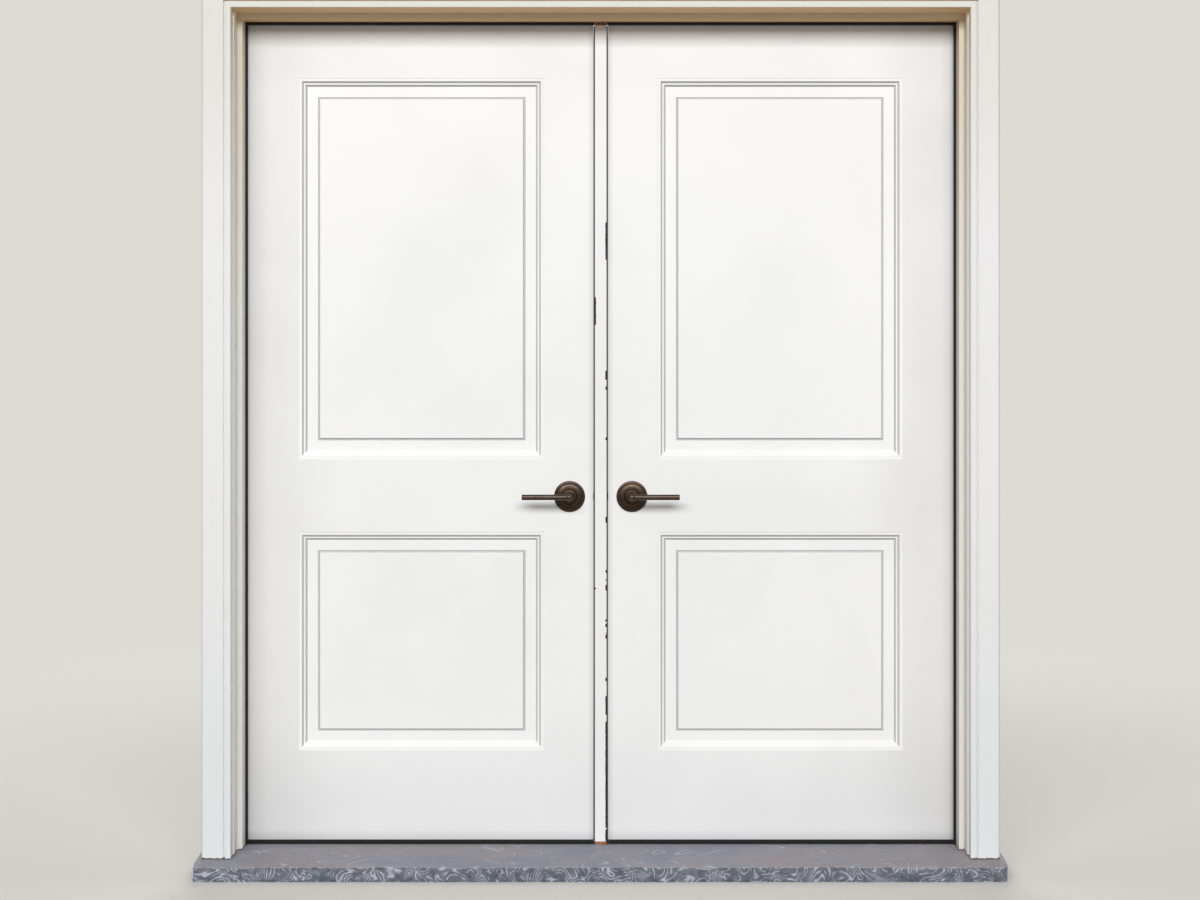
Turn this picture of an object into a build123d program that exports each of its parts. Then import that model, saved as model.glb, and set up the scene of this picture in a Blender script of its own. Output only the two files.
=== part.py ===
from build123d import *
import os

# French doors. Two panelled leaves swing inward from a timber frame and close on a fixed
# centre post. The frame stands on a rough stone sill. Sizes are in millimetres. X runs across
# the opening, Y runs into the building and Z runs up. The origin is on the underside of the
# sill, under the middle of the wall's outer face. Pieces that come in pairs are described for
# the right side, where X is positive, and mirrored for the left.

# Sizes across the opening, from the centre line out
POST_WIDTH = 30
EDGE_GAP = 4.2
LEAF_WIDTH = 895.8
HINGE_GAP = 3
STOP_COVER = 10
JAMB_THICKNESS = 32
LINING_SETBACK = 0
CASING_SETBACK = 3
CASING_WIDTH = 74
SILL_OVERHANG = 12

# Sizes into the building, from the wall's outer face
CASING_THICKNESS = 32
LINING_DEPTH = 44
STOP_DEPTH = 42
SEAL_DEPTH = 7
LEAF_THICKNESS = 44.5
JAMB_PAST_LEAF = 0.5
POST_PROUD = 6
SILL_NOSE = 89
SILL_BACK = 170
WEATHER_SLOPE_END = 88
THRESHOLD_FRONT_Y = 96
THRESHOLD_BACK_Y = 150

# Heights
SILL_FRONT_HEIGHT = 38
SILL_HEIGHT = 54
THRESHOLD_BASE_Z = 42
THRESHOLD_TOP_Z = 57
END_BLOCK_BOTTOM_Z = 62.5
END_BLOCK_TOP_Z = 2141
LEAF_CLEARANCE = 12
LEAF_HEIGHT = 2093
HEAD_GAP = 3
STOP_HEIGHT = 13
HEAD_LINING_SETBACK = 1
HEAD_CASING_SETBACK = 2
CASING_GAP = 2

# Corners and grooves of the sill, threshold and timber
SILL_LEFT_ROUND = 5
SILL_RIGHT_ROUND = 14
REBATE_PLAY = 0.2
THRESHOLD_CHAMFER = 1.5
GROOVE_YS = (140.5, 144.5)
GROOVE_WIDTH = 1.5
GROOVE_DEPTH = 0.8
ARRIS = 1.5
LINING_ARRIS = 1

# Section of the casing, from its inner edge outward
BAND_WIDTH = 14
BAND_ARRIS = 2
QUIRK_WIDTH = 5
QUIRK_DEPTH = 7
FLAT_DEPTH = 2
CASING_ROUND = 8
RELIEF_START = 31
RELIEF_END = 45
RELIEF_DEPTH = 1.5

# Seals and the kerfs that hold them
SEAL_INSET = 6
SEAL_FREE = 0.4
SEAL_ROUND = 2
SEAL_END_PLAY = 0.2
HEAD_SEAL_DROP = 7
KERF_SETBACK = 2
KERF_WIDTH = 3
KERF_DEPTH = 10
BARB_THICKNESS = 2.6
BARB_LENGTH = 8
POST_SEAL_THICKNESS = 3.2
POST_SEAL_SETBACK = 1.5
POST_SEAL_DEPTH = 7

# Panels of a leaf
HINGE_STILE_FACE = 145
PANEL_WIDTH = 625
TOP_RAIL_FACE = 151
UPPER_PANEL_HEIGHT = 971.6
LOCK_RAIL_FACE = 186
LOWER_PANEL_HEIGHT = 556
SKIN = 2.5
BOND = 0.3

# A panel's moulding, as steps in from its outer edge against depth below the leaf's face: a
# slope, a step, a second slope and step down to a flat band, a narrow groove and the raised field
MOULDING = ((0, 0), (8, 1), (12.2, 6.4), (16.4, 7), (20.6, 12.6), (47.4, 12.6),
            (48.8, 15), (50.2, 15), (53.4, 8.4), (56, 8.4))

# Timber and sweep of a leaf
STILE = 32
TOP_RAIL = 40
BOTTOM_RAIL = 60
LOCK_BLOCK_WIDTH = 89.5
LOCK_BLOCK_HEIGHT = 250
SWEEP_BASE = 3
SWEEP_SETBACK = 4
SWEEP_FIN = 2.4
SWEEP_CLEARANCE = 0.6

# Hinges
HINGE_HEIGHT = 102
HINGE_PLATE = 2.8
HINGE_PLATE_INSET = 34.5
KNUCKLE_RADIUS = 6.5
KNUCKLES = 5
KNUCKLE_PLAY = 0.4
PIN_RADIUS = 3.2
PIN_PLAY = 0.05
PIN_OFFSET = 7.5
PIN_HEAD_GAP = 0.5
PIN_HEAD_RADIUS = 6
PIN_HEAD_THICKNESS = 3
PIN_BUTTON_RADIUS = 4.5
HINGE_TOP_MARGIN = 178
HINGE_BOTTOM_MARGIN = 279
HINGE_SCREW_NEAR = 9
HINGE_SCREW_FAR = 21
HINGE_SCREW_OUTER = 40
HINGE_SCREW_INNER = 15

# Latch, strike plate and bolt
BACKSET = 60.3
LEVER_HEIGHT = 887
CROSS_BORE_RADIUS = 27
EDGE_BORE_RADIUS = 12.7
EDGE_BORE_PAST_SPINDLE = 6
FACEPLATE = 3
FACEPLATE_WIDTH = 25
FACEPLATE_HEIGHT = 57
PLATE_SCREW_OFFSET = 23
STRIKE = 1.5
STRIKE_WIDTH = 28
POCKET_DEPTH = 10
POCKET_WIDTH = 16
POCKET_HEIGHT = 22
BOLT_WIDTH = 11
BOLT_HEIGHT = 17
BOLT_BEVEL_LAND = 2.5
BOLT_ROUND = 1
BOLT_TIP_X = 7
BOLT_REAR_X = 48
BOLT_PLAY = 0.2
ROD_END_X = 61.5
ROD_HALF_Y = 2
ROD_HALF_Z = 3
ROD_PLAY = 0.5
CASE_RADIUS = 11.8
CASE_BORE_RADIUS = 10.4
CASE_END_WALL = 1.5
CASE_END_X = 62
TAIL_END_X = 93
TAIL_HALF_Y = 7
TAIL_HALF_Z = 10
SPINDLE_HOLE_RADIUS = 6.5

# Roses, levers and spindle
ROSE_RADIUS = 39.5
ROSE_RING_RADIUS = 32.5
HUB_RING_RADIUS = 19
ROSE_BORE_RADIUS = 11.2
NECK_RADIUS = 10.8
LEVER_STANDOFF = 52
LEVER_LENGTH = 120
LEVER_BAR_RADIUS = 7.1
LEVER_BALL_RADIUS = 9.6
LEVER_TIP_CHAMFER = 0.8
SPINDLE = 7.9
SPINDLE_SOCKET = 8
SPINDLE_REACH = 28
ROSE_SCREW_OFFSET = 23
ROSE_SCREW_RADIUS = 2
ROSE_SCREW_HEAD_RADIUS = 3.6
ROSE_SCREW_HEAD = 2.6
ROSE_SCREW_SEAT = 5
ROSE_SCREW_END = 4
BOSS_RADIUS = 3.8
BOSS_LENGTH = 20
ROSE_HOLE_TOP = 9
ROSE_HOLE_DEPTH = 12

# Outlines of the turned pieces, as radius against standoff from the leaf's face
ROSE_OUTLINE = ((ROSE_BORE_RADIUS, 0), (ROSE_RADIUS, 0), (ROSE_RADIUS, 2.5), (38, 4.2), (35.5, 4.8),
                (ROSE_RING_RADIUS, 4.8), (ROSE_RING_RADIUS - 0.8, 6.8), (26, 8.4), (HUB_RING_RADIUS, 9.2),
                (HUB_RING_RADIUS - 1, 11.6), (15.5, 13.4), (ROSE_BORE_RADIUS, 14))
NECK_OUTLINE = ((0, 3), (NECK_RADIUS, 3), (NECK_RADIUS, 17), (9.6, 21), (8.2, 27), (7.4, 36),
                (7.2, LEVER_STANDOFF), (0, LEVER_STANDOFF))

# Screws and fixing holes
SCREW_HEAD_RADIUS = 4
SCREW_HEAD_DEPTH = 2.4
SCREW_RADIUS = 2.1
SCREW_LENGTH = 25
SCREW_ANGLE = 76.8
SHORT_SCREW_LENGTH = 12
RECESS_LENGTH = 4.4
RECESS_WIDTH = 1
RECESS_DEPTH = 1.6
HOLE_PLAY = 0.05
FIXING_RADIUS = 3.5
FIXING_SINK_RADIUS = 7
FIXING_HEIGHTS = (254, 754, 1454, 2054)

# Places across the opening, worked out from the sizes
LOCK_X = POST_WIDTH / 2 + EDGE_GAP
HINGE_X = LOCK_X + LEAF_WIDTH
JAMB_X = HINGE_X + HINGE_GAP
STOP_X = HINGE_X - STOP_COVER
LINING_X = JAMB_X + LINING_SETBACK
CASING_X = JAMB_X + CASING_SETBACK
JAMB_BACK_X = JAMB_X + JAMB_THICKNESS
CASING_OUT_X = CASING_X + CASING_WIDTH
SILL_X = CASING_OUT_X + SILL_OVERHANG
SPINDLE_X = LOCK_X + BACKSET
PIN_X = HINGE_X + HINGE_GAP / 2
PANEL_OUT_X = HINGE_X - HINGE_STILE_FACE
PANEL_IN_X = PANEL_OUT_X - PANEL_WIDTH

# Places into the building
STOP_Y = LINING_DEPTH
STOP_BACK_Y = STOP_Y + STOP_DEPTH
LEAF_Y = STOP_BACK_Y + SEAL_DEPTH
LEAF_BACK_Y = LEAF_Y + LEAF_THICKNESS
LEAF_MID_Y = LEAF_Y + LEAF_THICKNESS / 2
JAMB_BACK_Y = LEAF_BACK_Y + JAMB_PAST_LEAF
POST_Y = LEAF_Y - POST_PROUD
KERF_Y = STOP_BACK_Y + KERF_SETBACK
BARB_Y = KERF_Y + (KERF_WIDTH - BARB_THICKNESS) / 2
PIN_Y = LEAF_BACK_Y + PIN_OFFSET
HINGE_PLATE_Y = LEAF_BACK_Y - HINGE_PLATE_INSET
CORE_Y = LEAF_Y + SKIN
CORE_BACK_Y = LEAF_BACK_Y - SKIN

# Heights of places
LEAF_Z = SILL_HEIGHT + LEAF_CLEARANCE
LEAF_TOP_Z = LEAF_Z + LEAF_HEIGHT
HEAD_Z = LEAF_TOP_Z + HEAD_GAP
HEAD_STOP_Z = HEAD_Z - STOP_HEIGHT
HEAD_LINING_Z = HEAD_Z + HEAD_LINING_SETBACK
HEAD_CASING_Z = HEAD_Z + HEAD_CASING_SETBACK
TOP_Z = HEAD_CASING_Z + CASING_WIDTH
LEVER_Z = SILL_HEIGHT + LEVER_HEIGHT
UPPER_TOP_Z = LEAF_TOP_Z - TOP_RAIL_FACE
UPPER_BOTTOM_Z = UPPER_TOP_Z - UPPER_PANEL_HEIGHT
LOWER_TOP_Z = UPPER_BOTTOM_Z - LOCK_RAIL_FACE
LOWER_BOTTOM_Z = LOWER_TOP_Z - LOWER_PANEL_HEIGHT
PANELS = ((LOWER_BOTTOM_Z, LOWER_TOP_Z), (UPPER_BOTTOM_Z, UPPER_TOP_Z))
BOTTOM_HINGE_Z = LEAF_Z + HINGE_BOTTOM_MARGIN + HINGE_HEIGHT / 2
TOP_HINGE_Z = LEAF_TOP_Z - HINGE_TOP_MARGIN - HINGE_HEIGHT / 2
HINGE_ZS = (BOTTOM_HINGE_Z, (BOTTOM_HINGE_Z + TOP_HINGE_Z) / 2, TOP_HINGE_Z)

# Timber and foam inside a leaf
FIELD_INSET, FIELD_DEPTH = MOULDING[-1]
CORE_X = LOCK_X + STILE
CORE_OUT_X = HINGE_X - STILE
CORE_Z = LEAF_Z + BOTTOM_RAIL
CORE_TOP_Z = LEAF_TOP_Z - TOP_RAIL
LOCK_BLOCK_OUT_X = CORE_X + LOCK_BLOCK_WIDTH
LOCK_BLOCK_Z = LEVER_Z - LOCK_BLOCK_HEIGHT / 2
LOCK_BLOCK_TOP_Z = LEVER_Z + LOCK_BLOCK_HEIGHT / 2

OUTWARD = (Align.CENTER, Align.CENTER, Align.MIN)
INWARD = (Align.CENTER, Align.CENTER, Align.MAX)


# Shared helpers

def block(low, high, mode=Mode.ADD):
    """Adds, or cuts with another mode, a block between two corners of the part being built."""
    middle = tuple((a + b) / 2 for a, b in zip(low, high))
    size = [b - a for a, b in zip(low, high)]
    with Locations(middle):
        Box(*size, mode=mode)


def write(piece, name):
    """Labels a finished piece with its node name and writes its file."""
    piece.label = name
    export_step(piece, f"parts/{name}.step")


def write_pair(piece, name):
    """Writes a piece of the right side, and its mirror image for the left side."""
    write(mirror(piece, about=Plane.YZ), f"left_{name}")
    write(piece, f"right_{name}")


def turned_round(piece):
    """The mirror image of a leaf's outer piece for its inner face."""
    return mirror(piece, about=Plane.XZ.offset(-LEAF_MID_Y))


def screw_places(x, facing, spots):
    """Planes for screws driven along X, with their outer normal facing the open side."""
    return [Plane(origin=(x, y, z), x_dir=(0, 1, 0), z_dir=(facing, 0, 0)) for y, z in spots]


def hinge_spots():
    """The Y and Z of every screw in one side's hinge plates, staggered as on a butt hinge."""
    near = HINGE_PLATE_Y + HINGE_SCREW_NEAR
    far = HINGE_PLATE_Y + HINGE_SCREW_FAR
    rows = ((near, -HINGE_SCREW_OUTER), (far, -HINGE_SCREW_INNER),
            (far, HINGE_SCREW_INNER), (near, HINGE_SCREW_OUTER))
    return [(y, z + up) for z in HINGE_ZS for y, up in rows]


def plate_spots():
    """The Y and Z of the two screws of a strike plate or a latch faceplate."""
    return [(LEAF_MID_Y, LEVER_Z + up) for up in (-PLATE_SCREW_OFFSET, PLATE_SCREW_OFFSET)]


def drill(places, length):
    """Cuts pilot holes for screws in the part being built."""
    with Locations(*places):
        Hole(radius=SCREW_RADIUS + HOLE_PLAY, depth=length + HOLE_PLAY)


def countersink(places, depth):
    """Cuts countersunk screw holes in the part being built."""
    with Locations(*places):
        CounterSinkHole(radius=SCREW_RADIUS + HOLE_PLAY, counter_sink_radius=SCREW_HEAD_RADIUS + HOLE_PLAY,
                        depth=depth, counter_sink_angle=SCREW_ANGLE)


def screws(places, length):
    """Adds countersunk screws with a cross recess to the part being built."""
    with Locations(*places):
        Cone(bottom_radius=SCREW_RADIUS, top_radius=SCREW_HEAD_RADIUS, height=SCREW_HEAD_DEPTH, align=INWARD)
        Cylinder(radius=SCREW_RADIUS, height=length, align=INWARD)
        Box(RECESS_LENGTH, RECESS_WIDTH, RECESS_DEPTH, align=INWARD, mode=Mode.SUBTRACT)
        Box(RECESS_WIDTH, RECESS_LENGTH, RECESS_DEPTH, align=INWARD, mode=Mode.SUBTRACT)


# Sill and threshold

def make_sill():
    """The stone slab: a weathered slope to the stops, level beyond, with a rebate for the threshold."""
    with BuildPart() as sill:
        with BuildSketch(Plane.YZ.offset(-SILL_X)):
            with BuildLine():
                Polyline((-SILL_NOSE, 0), (-SILL_NOSE, SILL_FRONT_HEIGHT), (WEATHER_SLOPE_END, SILL_HEIGHT),
                         (SILL_BACK, SILL_HEIGHT), (SILL_BACK, 0), close=True)
            make_face()
        extrude(amount=2 * SILL_X)
        # the right front corner is knocked off round
        front = sill.edges().filter_by(Axis.Z).group_by(Axis.Y)[0]
        fillet(front.sort_by(Axis.X)[-1], radius=SILL_RIGHT_ROUND)
        fillet(front.sort_by(Axis.X)[0], radius=SILL_LEFT_ROUND)
        block((-JAMB_X - REBATE_PLAY, THRESHOLD_FRONT_Y - REBATE_PLAY, THRESHOLD_BASE_Z),
              (JAMB_X + REBATE_PLAY, THRESHOLD_BACK_Y + REBATE_PLAY, THRESHOLD_TOP_Z), Mode.SUBTRACT)
    return sill.part


def make_threshold():
    """The metal threshold, let into the stone and standing 3 mm above it, with grooves underfoot."""
    with BuildPart() as threshold:
        block((-JAMB_X, THRESHOLD_FRONT_Y, THRESHOLD_BASE_Z), (JAMB_X, THRESHOLD_BACK_Y, THRESHOLD_TOP_Z))
        edges = threshold.edges().filter_by(Axis.X).group_by(Axis.Z)[-1]
        chamfer(edges, length=THRESHOLD_CHAMFER)
        for y in GROOVE_YS:
            block((-JAMB_X, y, THRESHOLD_TOP_Z - GROOVE_DEPTH), (JAMB_X, y + GROOVE_WIDTH, THRESHOLD_TOP_Z),
                  Mode.SUBTRACT)
    return threshold.part


# Timber frame

def hinge_mortises(face_x, away):
    """Cuts the mortises of one side's hinge plates in an edge of the part being built."""
    low_x, high_x = sorted((face_x, face_x + away * HINGE_PLATE))
    half = HINGE_HEIGHT / 2 + HOLE_PLAY
    for z in HINGE_ZS:
        block((low_x, HINGE_PLATE_Y - HOLE_PLAY, z - half), (high_x, JAMB_BACK_Y, z + half), Mode.SUBTRACT)


def make_jamb(sill):
    """A rebated side jamb: the stop is one piece with it, and a kerf holds the seal."""
    with BuildPart() as jamb:
        with BuildSketch(Plane.XY):
            with BuildLine():
                Polyline((STOP_X, STOP_Y), (STOP_X, STOP_BACK_Y), (JAMB_X, STOP_BACK_Y),
                         (JAMB_X, JAMB_BACK_Y), (JAMB_BACK_X, JAMB_BACK_Y), (JAMB_BACK_X, STOP_Y), close=True)
            make_face()
        extrude(amount=HEAD_Z)
        stop_arrises = jamb.edges().filter_by(Axis.Z).group_by(Axis.X)[0]
        fillet(stop_arrises, radius=ARRIS)
        add(sill, mode=Mode.SUBTRACT)
        block((JAMB_X, KERF_Y, 0), (JAMB_X + KERF_DEPTH, KERF_Y + KERF_WIDTH, HEAD_Z), Mode.SUBTRACT)
        hinge_mortises(JAMB_X, 1)
        drill(screw_places(JAMB_X, -1, hinge_spots()), SCREW_LENGTH)
        fixings = [(LEAF_MID_Y, z) for z in FIXING_HEIGHTS]
        with Locations(*screw_places(JAMB_X, -1, fixings)):
            CounterSinkHole(radius=FIXING_RADIUS, counter_sink_radius=FIXING_SINK_RADIUS, depth=JAMB_THICKNESS)
    return jamb.part


def make_head_jamb():
    """The head of the frame with its stop, resting on both side jambs."""
    with BuildPart() as head:
        block((-JAMB_BACK_X, STOP_Y, HEAD_Z), (JAMB_BACK_X, JAMB_BACK_Y, HEAD_Z + JAMB_THICKNESS))
        block((-STOP_X, STOP_Y, HEAD_STOP_Z), (STOP_X, STOP_BACK_Y, HEAD_Z))
        fillet(head.edges().filter_by(Axis.X).group_by(Axis.Z)[0], radius=ARRIS)
        block((-JAMB_X, KERF_Y, HEAD_Z), (JAMB_X, KERF_Y + KERF_WIDTH, HEAD_Z + KERF_DEPTH), Mode.SUBTRACT)
    return head.part


def make_lining(sill):
    """A side lining between the jamb and the back of the casing."""
    with BuildPart() as lining:
        block((LINING_X, 0, 0), (JAMB_BACK_X, LINING_DEPTH, HEAD_LINING_Z))
        front = lining.edges().filter_by(Axis.Z).group_by(Axis.X)[0].sort_by(Axis.Y)[0]
        fillet(front, radius=LINING_ARRIS)
        add(sill, mode=Mode.SUBTRACT)
    return lining.part


def make_head_lining():
    """The lining over the opening."""
    with BuildPart() as lining:
        block((-JAMB_BACK_X, 0, HEAD_LINING_Z), (JAMB_BACK_X, LINING_DEPTH, HEAD_Z + JAMB_THICKNESS))
        front = lining.edges().filter_by(Axis.X).group_by(Axis.Z)[0].sort_by(Axis.Y)[0]
        fillet(front, radius=LINING_ARRIS)
    return lining.part


def casing_section(plane):
    """The casing's moulded section, drawn from its inner edge outward on the plane given."""
    front_y = -CASING_THICKNESS
    quirk_y = front_y + QUIRK_DEPTH
    flat_y = front_y + FLAT_DEPTH
    arris_y = front_y + BAND_ARRIS
    quirk_out = BAND_WIDTH + QUIRK_WIDTH
    round_start = (CASING_WIDTH - CASING_ROUND, flat_y)
    round_end = (CASING_WIDTH, flat_y + CASING_ROUND)
    with BuildSketch(plane) as section:
        with BuildLine():
            # a flat band with softened arrises
            Line((0, 0), (0, arris_y))
            RadiusArc((0, arris_y), (BAND_ARRIS, front_y), -BAND_ARRIS)
            Line((BAND_ARRIS, front_y), (BAND_WIDTH - BAND_ARRIS, front_y))
            RadiusArc((BAND_WIDTH - BAND_ARRIS, front_y), (BAND_WIDTH, arris_y), -BAND_ARRIS)
            # a square groove and the wide flat, rounded over at the outer edge
            Polyline((BAND_WIDTH, arris_y), (BAND_WIDTH, quirk_y), (quirk_out, quirk_y), (quirk_out, flat_y),
                     round_start)
            RadiusArc(round_start, round_end, -CASING_ROUND)
            # the back is relieved between the edge on the lining and the edge on the wall
            Polyline(round_end, (CASING_WIDTH, 0), (RELIEF_END, 0), (RELIEF_END, -RELIEF_DEPTH),
                     (RELIEF_START, -RELIEF_DEPTH), (RELIEF_START, 0), (0, 0))
        make_face()
    return section.sketch


def mitre_plane(side):
    """The plane of a top corner's mitre, with its normal towards the head casing."""
    return Plane(origin=(side * CASING_X, 0, HEAD_CASING_Z), x_dir=(0, 1, 0), z_dir=(-side, 0, 1))


def make_casing(sill):
    """A side casing, mitred at the head and scribed to the sill with a narrow gap."""
    section = casing_section(Plane(origin=(CASING_X, 0, 0), x_dir=(1, 0, 0), z_dir=(0, 0, 1)))
    with BuildPart() as casing:
        extrude(section, amount=TOP_Z + 1)
        split(bisect_by=mitre_plane(1), keep=Keep.BOTTOM)
        add(sill.moved(Location((0, 0, CASING_GAP))), mode=Mode.SUBTRACT)
        add(sill, mode=Mode.SUBTRACT)
    return casing.part


def make_head_casing():
    """The casing over the opening, mitred at both ends."""
    section = casing_section(Plane(origin=(CASING_OUT_X, 0, HEAD_CASING_Z), x_dir=(0, 0, 1), z_dir=(-1, 0, 0)))
    with BuildPart() as casing:
        extrude(section, amount=2 * CASING_OUT_X)
        split(bisect_by=mitre_plane(1), keep=Keep.TOP)
        split(bisect_by=mitre_plane(-1), keep=Keep.TOP)
    return casing.part


# Seals of the frame

def make_jamb_seal():
    """A foam seal in the jamb's kerf, showing a dark edge past the stop."""
    bottom = SILL_HEIGHT + SEAL_END_PLAY
    top = HEAD_Z - SEAL_END_PLAY
    with BuildPart() as seal:
        block((STOP_X - SEAL_INSET, STOP_BACK_Y, bottom), (JAMB_X, LEAF_Y - SEAL_FREE, top))
        fillet(seal.edges().filter_by(Axis.Z).group_by(Axis.X)[0], radius=SEAL_ROUND)
        block((JAMB_X, BARB_Y, bottom), (JAMB_X + BARB_LENGTH, BARB_Y + BARB_THICKNESS, top))
    return seal.part


def make_head_seal():
    """The seal under the head, in two lengths that stop at the centre post."""
    reach = STOP_X - SEAL_INSET - SEAL_END_PLAY
    start = POST_WIDTH / 2 + SEAL_END_PLAY
    with BuildPart() as seal:
        for low, high in ((-reach, -start), (start, reach)):
            block((low, STOP_BACK_Y, HEAD_STOP_Z - HEAD_SEAL_DROP), (high, LEAF_Y - SEAL_FREE, HEAD_Z))
            block((low, BARB_Y, HEAD_Z), (high, BARB_Y + BARB_THICKNESS, HEAD_Z + BARB_LENGTH))
        fillet(seal.edges().filter_by(Axis.X).group_by(Axis.Z)[0], radius=SEAL_ROUND)
    return seal.part


# Centre post

def make_post():
    """The fixed centre post, with a mortise and a bolt pocket on each side."""
    half = POST_WIDTH / 2
    with BuildPart() as post:
        block((-half, POST_Y, END_BLOCK_BOTTOM_Z), (half, LEAF_BACK_Y, END_BLOCK_TOP_Z))
        fillet(post.edges().filter_by(Axis.Z).group_by(Axis.Y)[0], radius=ARRIS)
        for side in (-1, 1):
            reach = sorted((side * (half - STRIKE), side * half))
            block((reach[0], LEAF_MID_Y - STRIKE_WIDTH / 2, LEVER_Z - FACEPLATE_HEIGHT / 2),
                  (reach[1], LEAF_MID_Y + STRIKE_WIDTH / 2, LEVER_Z + FACEPLATE_HEIGHT / 2), Mode.SUBTRACT)
            reach = sorted((side * (half - POCKET_DEPTH), side * half))
            block((reach[0], LEAF_MID_Y - POCKET_WIDTH / 2, LEVER_Z - POCKET_HEIGHT / 2),
                  (reach[1], LEAF_MID_Y + POCKET_WIDTH / 2, LEVER_Z + POCKET_HEIGHT / 2), Mode.SUBTRACT)
            countersink(screw_places(side * half, side, plate_spots()), SHORT_SCREW_LENGTH + HOLE_PLAY)
    return post.part


def make_post_end_blocks():
    """Bare timber blocks that close the post's foot on the threshold and its top in the head."""
    half = POST_WIDTH / 2
    with BuildPart() as blocks:
        block((-half, POST_Y, SILL_HEIGHT), (half, LEAF_BACK_Y, END_BLOCK_BOTTOM_Z))
        # the foot is notched over the threshold
        block((-POST_WIDTH, THRESHOLD_FRONT_Y - REBATE_PLAY, SILL_HEIGHT),
              (POST_WIDTH, THRESHOLD_BACK_Y, THRESHOLD_TOP_Z), Mode.SUBTRACT)
        block((-half, POST_Y, END_BLOCK_TOP_Z), (half, LEAF_BACK_Y, HEAD_Z))
    return blocks.part


def make_post_seals():
    """A slim seal down each side of the post, clear of the leaves' edges."""
    half = POST_WIDTH / 2
    seal_y = LEAF_Y + POST_SEAL_SETBACK
    with BuildPart() as seals:
        for low, high in ((-half - POST_SEAL_THICKNESS, -half), (half, half + POST_SEAL_THICKNESS)):
            block((low, seal_y, THRESHOLD_TOP_Z + SEAL_END_PLAY),
                  (high, seal_y + POST_SEAL_DEPTH, END_BLOCK_TOP_Z))
    return seals.part


def make_strike_plate():
    """The strike plate let into the post's side, with the bolt's hole and two screw holes."""
    half = POST_WIDTH / 2
    with BuildPart() as plate:
        block((half - STRIKE, LEAF_MID_Y - STRIKE_WIDTH / 2, LEVER_Z - FACEPLATE_HEIGHT / 2),
              (half, LEAF_MID_Y + STRIKE_WIDTH / 2, LEVER_Z + FACEPLATE_HEIGHT / 2))
        block((half - STRIKE, LEAF_MID_Y - POCKET_WIDTH / 2, LEVER_Z - POCKET_HEIGHT / 2),
              (half, LEAF_MID_Y + POCKET_WIDTH / 2, LEVER_Z + POCKET_HEIGHT / 2), Mode.SUBTRACT)
        countersink(screw_places(half, 1, plate_spots()), STRIKE)
    return plate.part


# Hinges

def knuckle_spans(first):
    """Heights of every second knuckle of a hinge, from its middle, starting with the one given."""
    length = HINGE_HEIGHT / KNUCKLES
    spans = []
    for number in range(first, KNUCKLES, 2):
        low = number * length - HINGE_HEIGHT / 2
        spans.append((low + KNUCKLE_PLAY / 2, low + length - KNUCKLE_PLAY / 2))
    return spans


def make_hinge_halves(face_x, away, first):
    """One side's plates of all three hinges, with their knuckles round the pin's axis."""
    low_x, high_x = sorted((face_x, face_x + away * HINGE_PLATE))
    with BuildPart() as halves:
        for z in HINGE_ZS:
            block((low_x, HINGE_PLATE_Y, z - HINGE_HEIGHT / 2), (high_x, LEAF_BACK_Y, z + HINGE_HEIGHT / 2))
            for low, high in knuckle_spans(first):
                block((low_x, LEAF_BACK_Y, z + low), (high_x, PIN_Y, z + high))
                with BuildSketch(Plane.XY.offset(z + low)):
                    with Locations((PIN_X, PIN_Y)):
                        Circle(KNUCKLE_RADIUS)
                extrude(amount=high - low)
            with Locations((PIN_X, PIN_Y, z)):
                Cylinder(radius=PIN_RADIUS + PIN_PLAY, height=HINGE_HEIGHT + 1, mode=Mode.SUBTRACT)
        countersink(screw_places(face_x, -away, hinge_spots()), HINGE_PLATE)
    return halves.part


def make_hinge_pins():
    """The three hinge pins, each with a round head above and a button below."""
    head_base = HINGE_HEIGHT / 2 + PIN_HEAD_GAP
    head_top = head_base + PIN_HEAD_THICKNESS
    with BuildPart() as pins:
        for z in HINGE_ZS:
            with Locations((PIN_X, PIN_Y, z)):
                Cylinder(radius=PIN_RADIUS, height=2 * head_top)
            for end in (-1, 1):
                with Locations((PIN_X, PIN_Y, z + end * (head_base + head_top) / 2)):
                    Cylinder(radius=PIN_HEAD_RADIUS, height=PIN_HEAD_THICKNESS)
                with Locations((PIN_X, PIN_Y, z + end * head_top)):
                    Sphere(radius=PIN_BUTTON_RADIUS)
    return pins.part


# Leaves

def set_back(line, distance):
    """The moulding's line moved back by a distance, with its corners mitred and its ends straight behind."""
    moved = []
    for (x0, y0), (x1, y1) in zip(line, line[1:]):
        length = ((x1 - x0) ** 2 + (y1 - y0) ** 2) ** 0.5
        along = ((x1 - x0) / length, (y1 - y0) / length)
        moved.append(((x0 - along[1] * distance, y0 + along[0] * distance), along))
    points = [(line[0][0], line[0][1] + distance)]
    for (start, along), (other, other_along) in zip(moved, moved[1:]):
        cross = along[0] * other_along[1] - along[1] * other_along[0]
        apart = (other[0] - start[0], other[1] - start[1])
        reach = (apart[0] * other_along[1] - apart[1] * other_along[0]) / cross
        points.append((start[0] + along[0] * reach, start[1] + along[1] * reach))
    points.append((line[-1][0], line[-1][1] + distance))
    return points


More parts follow.
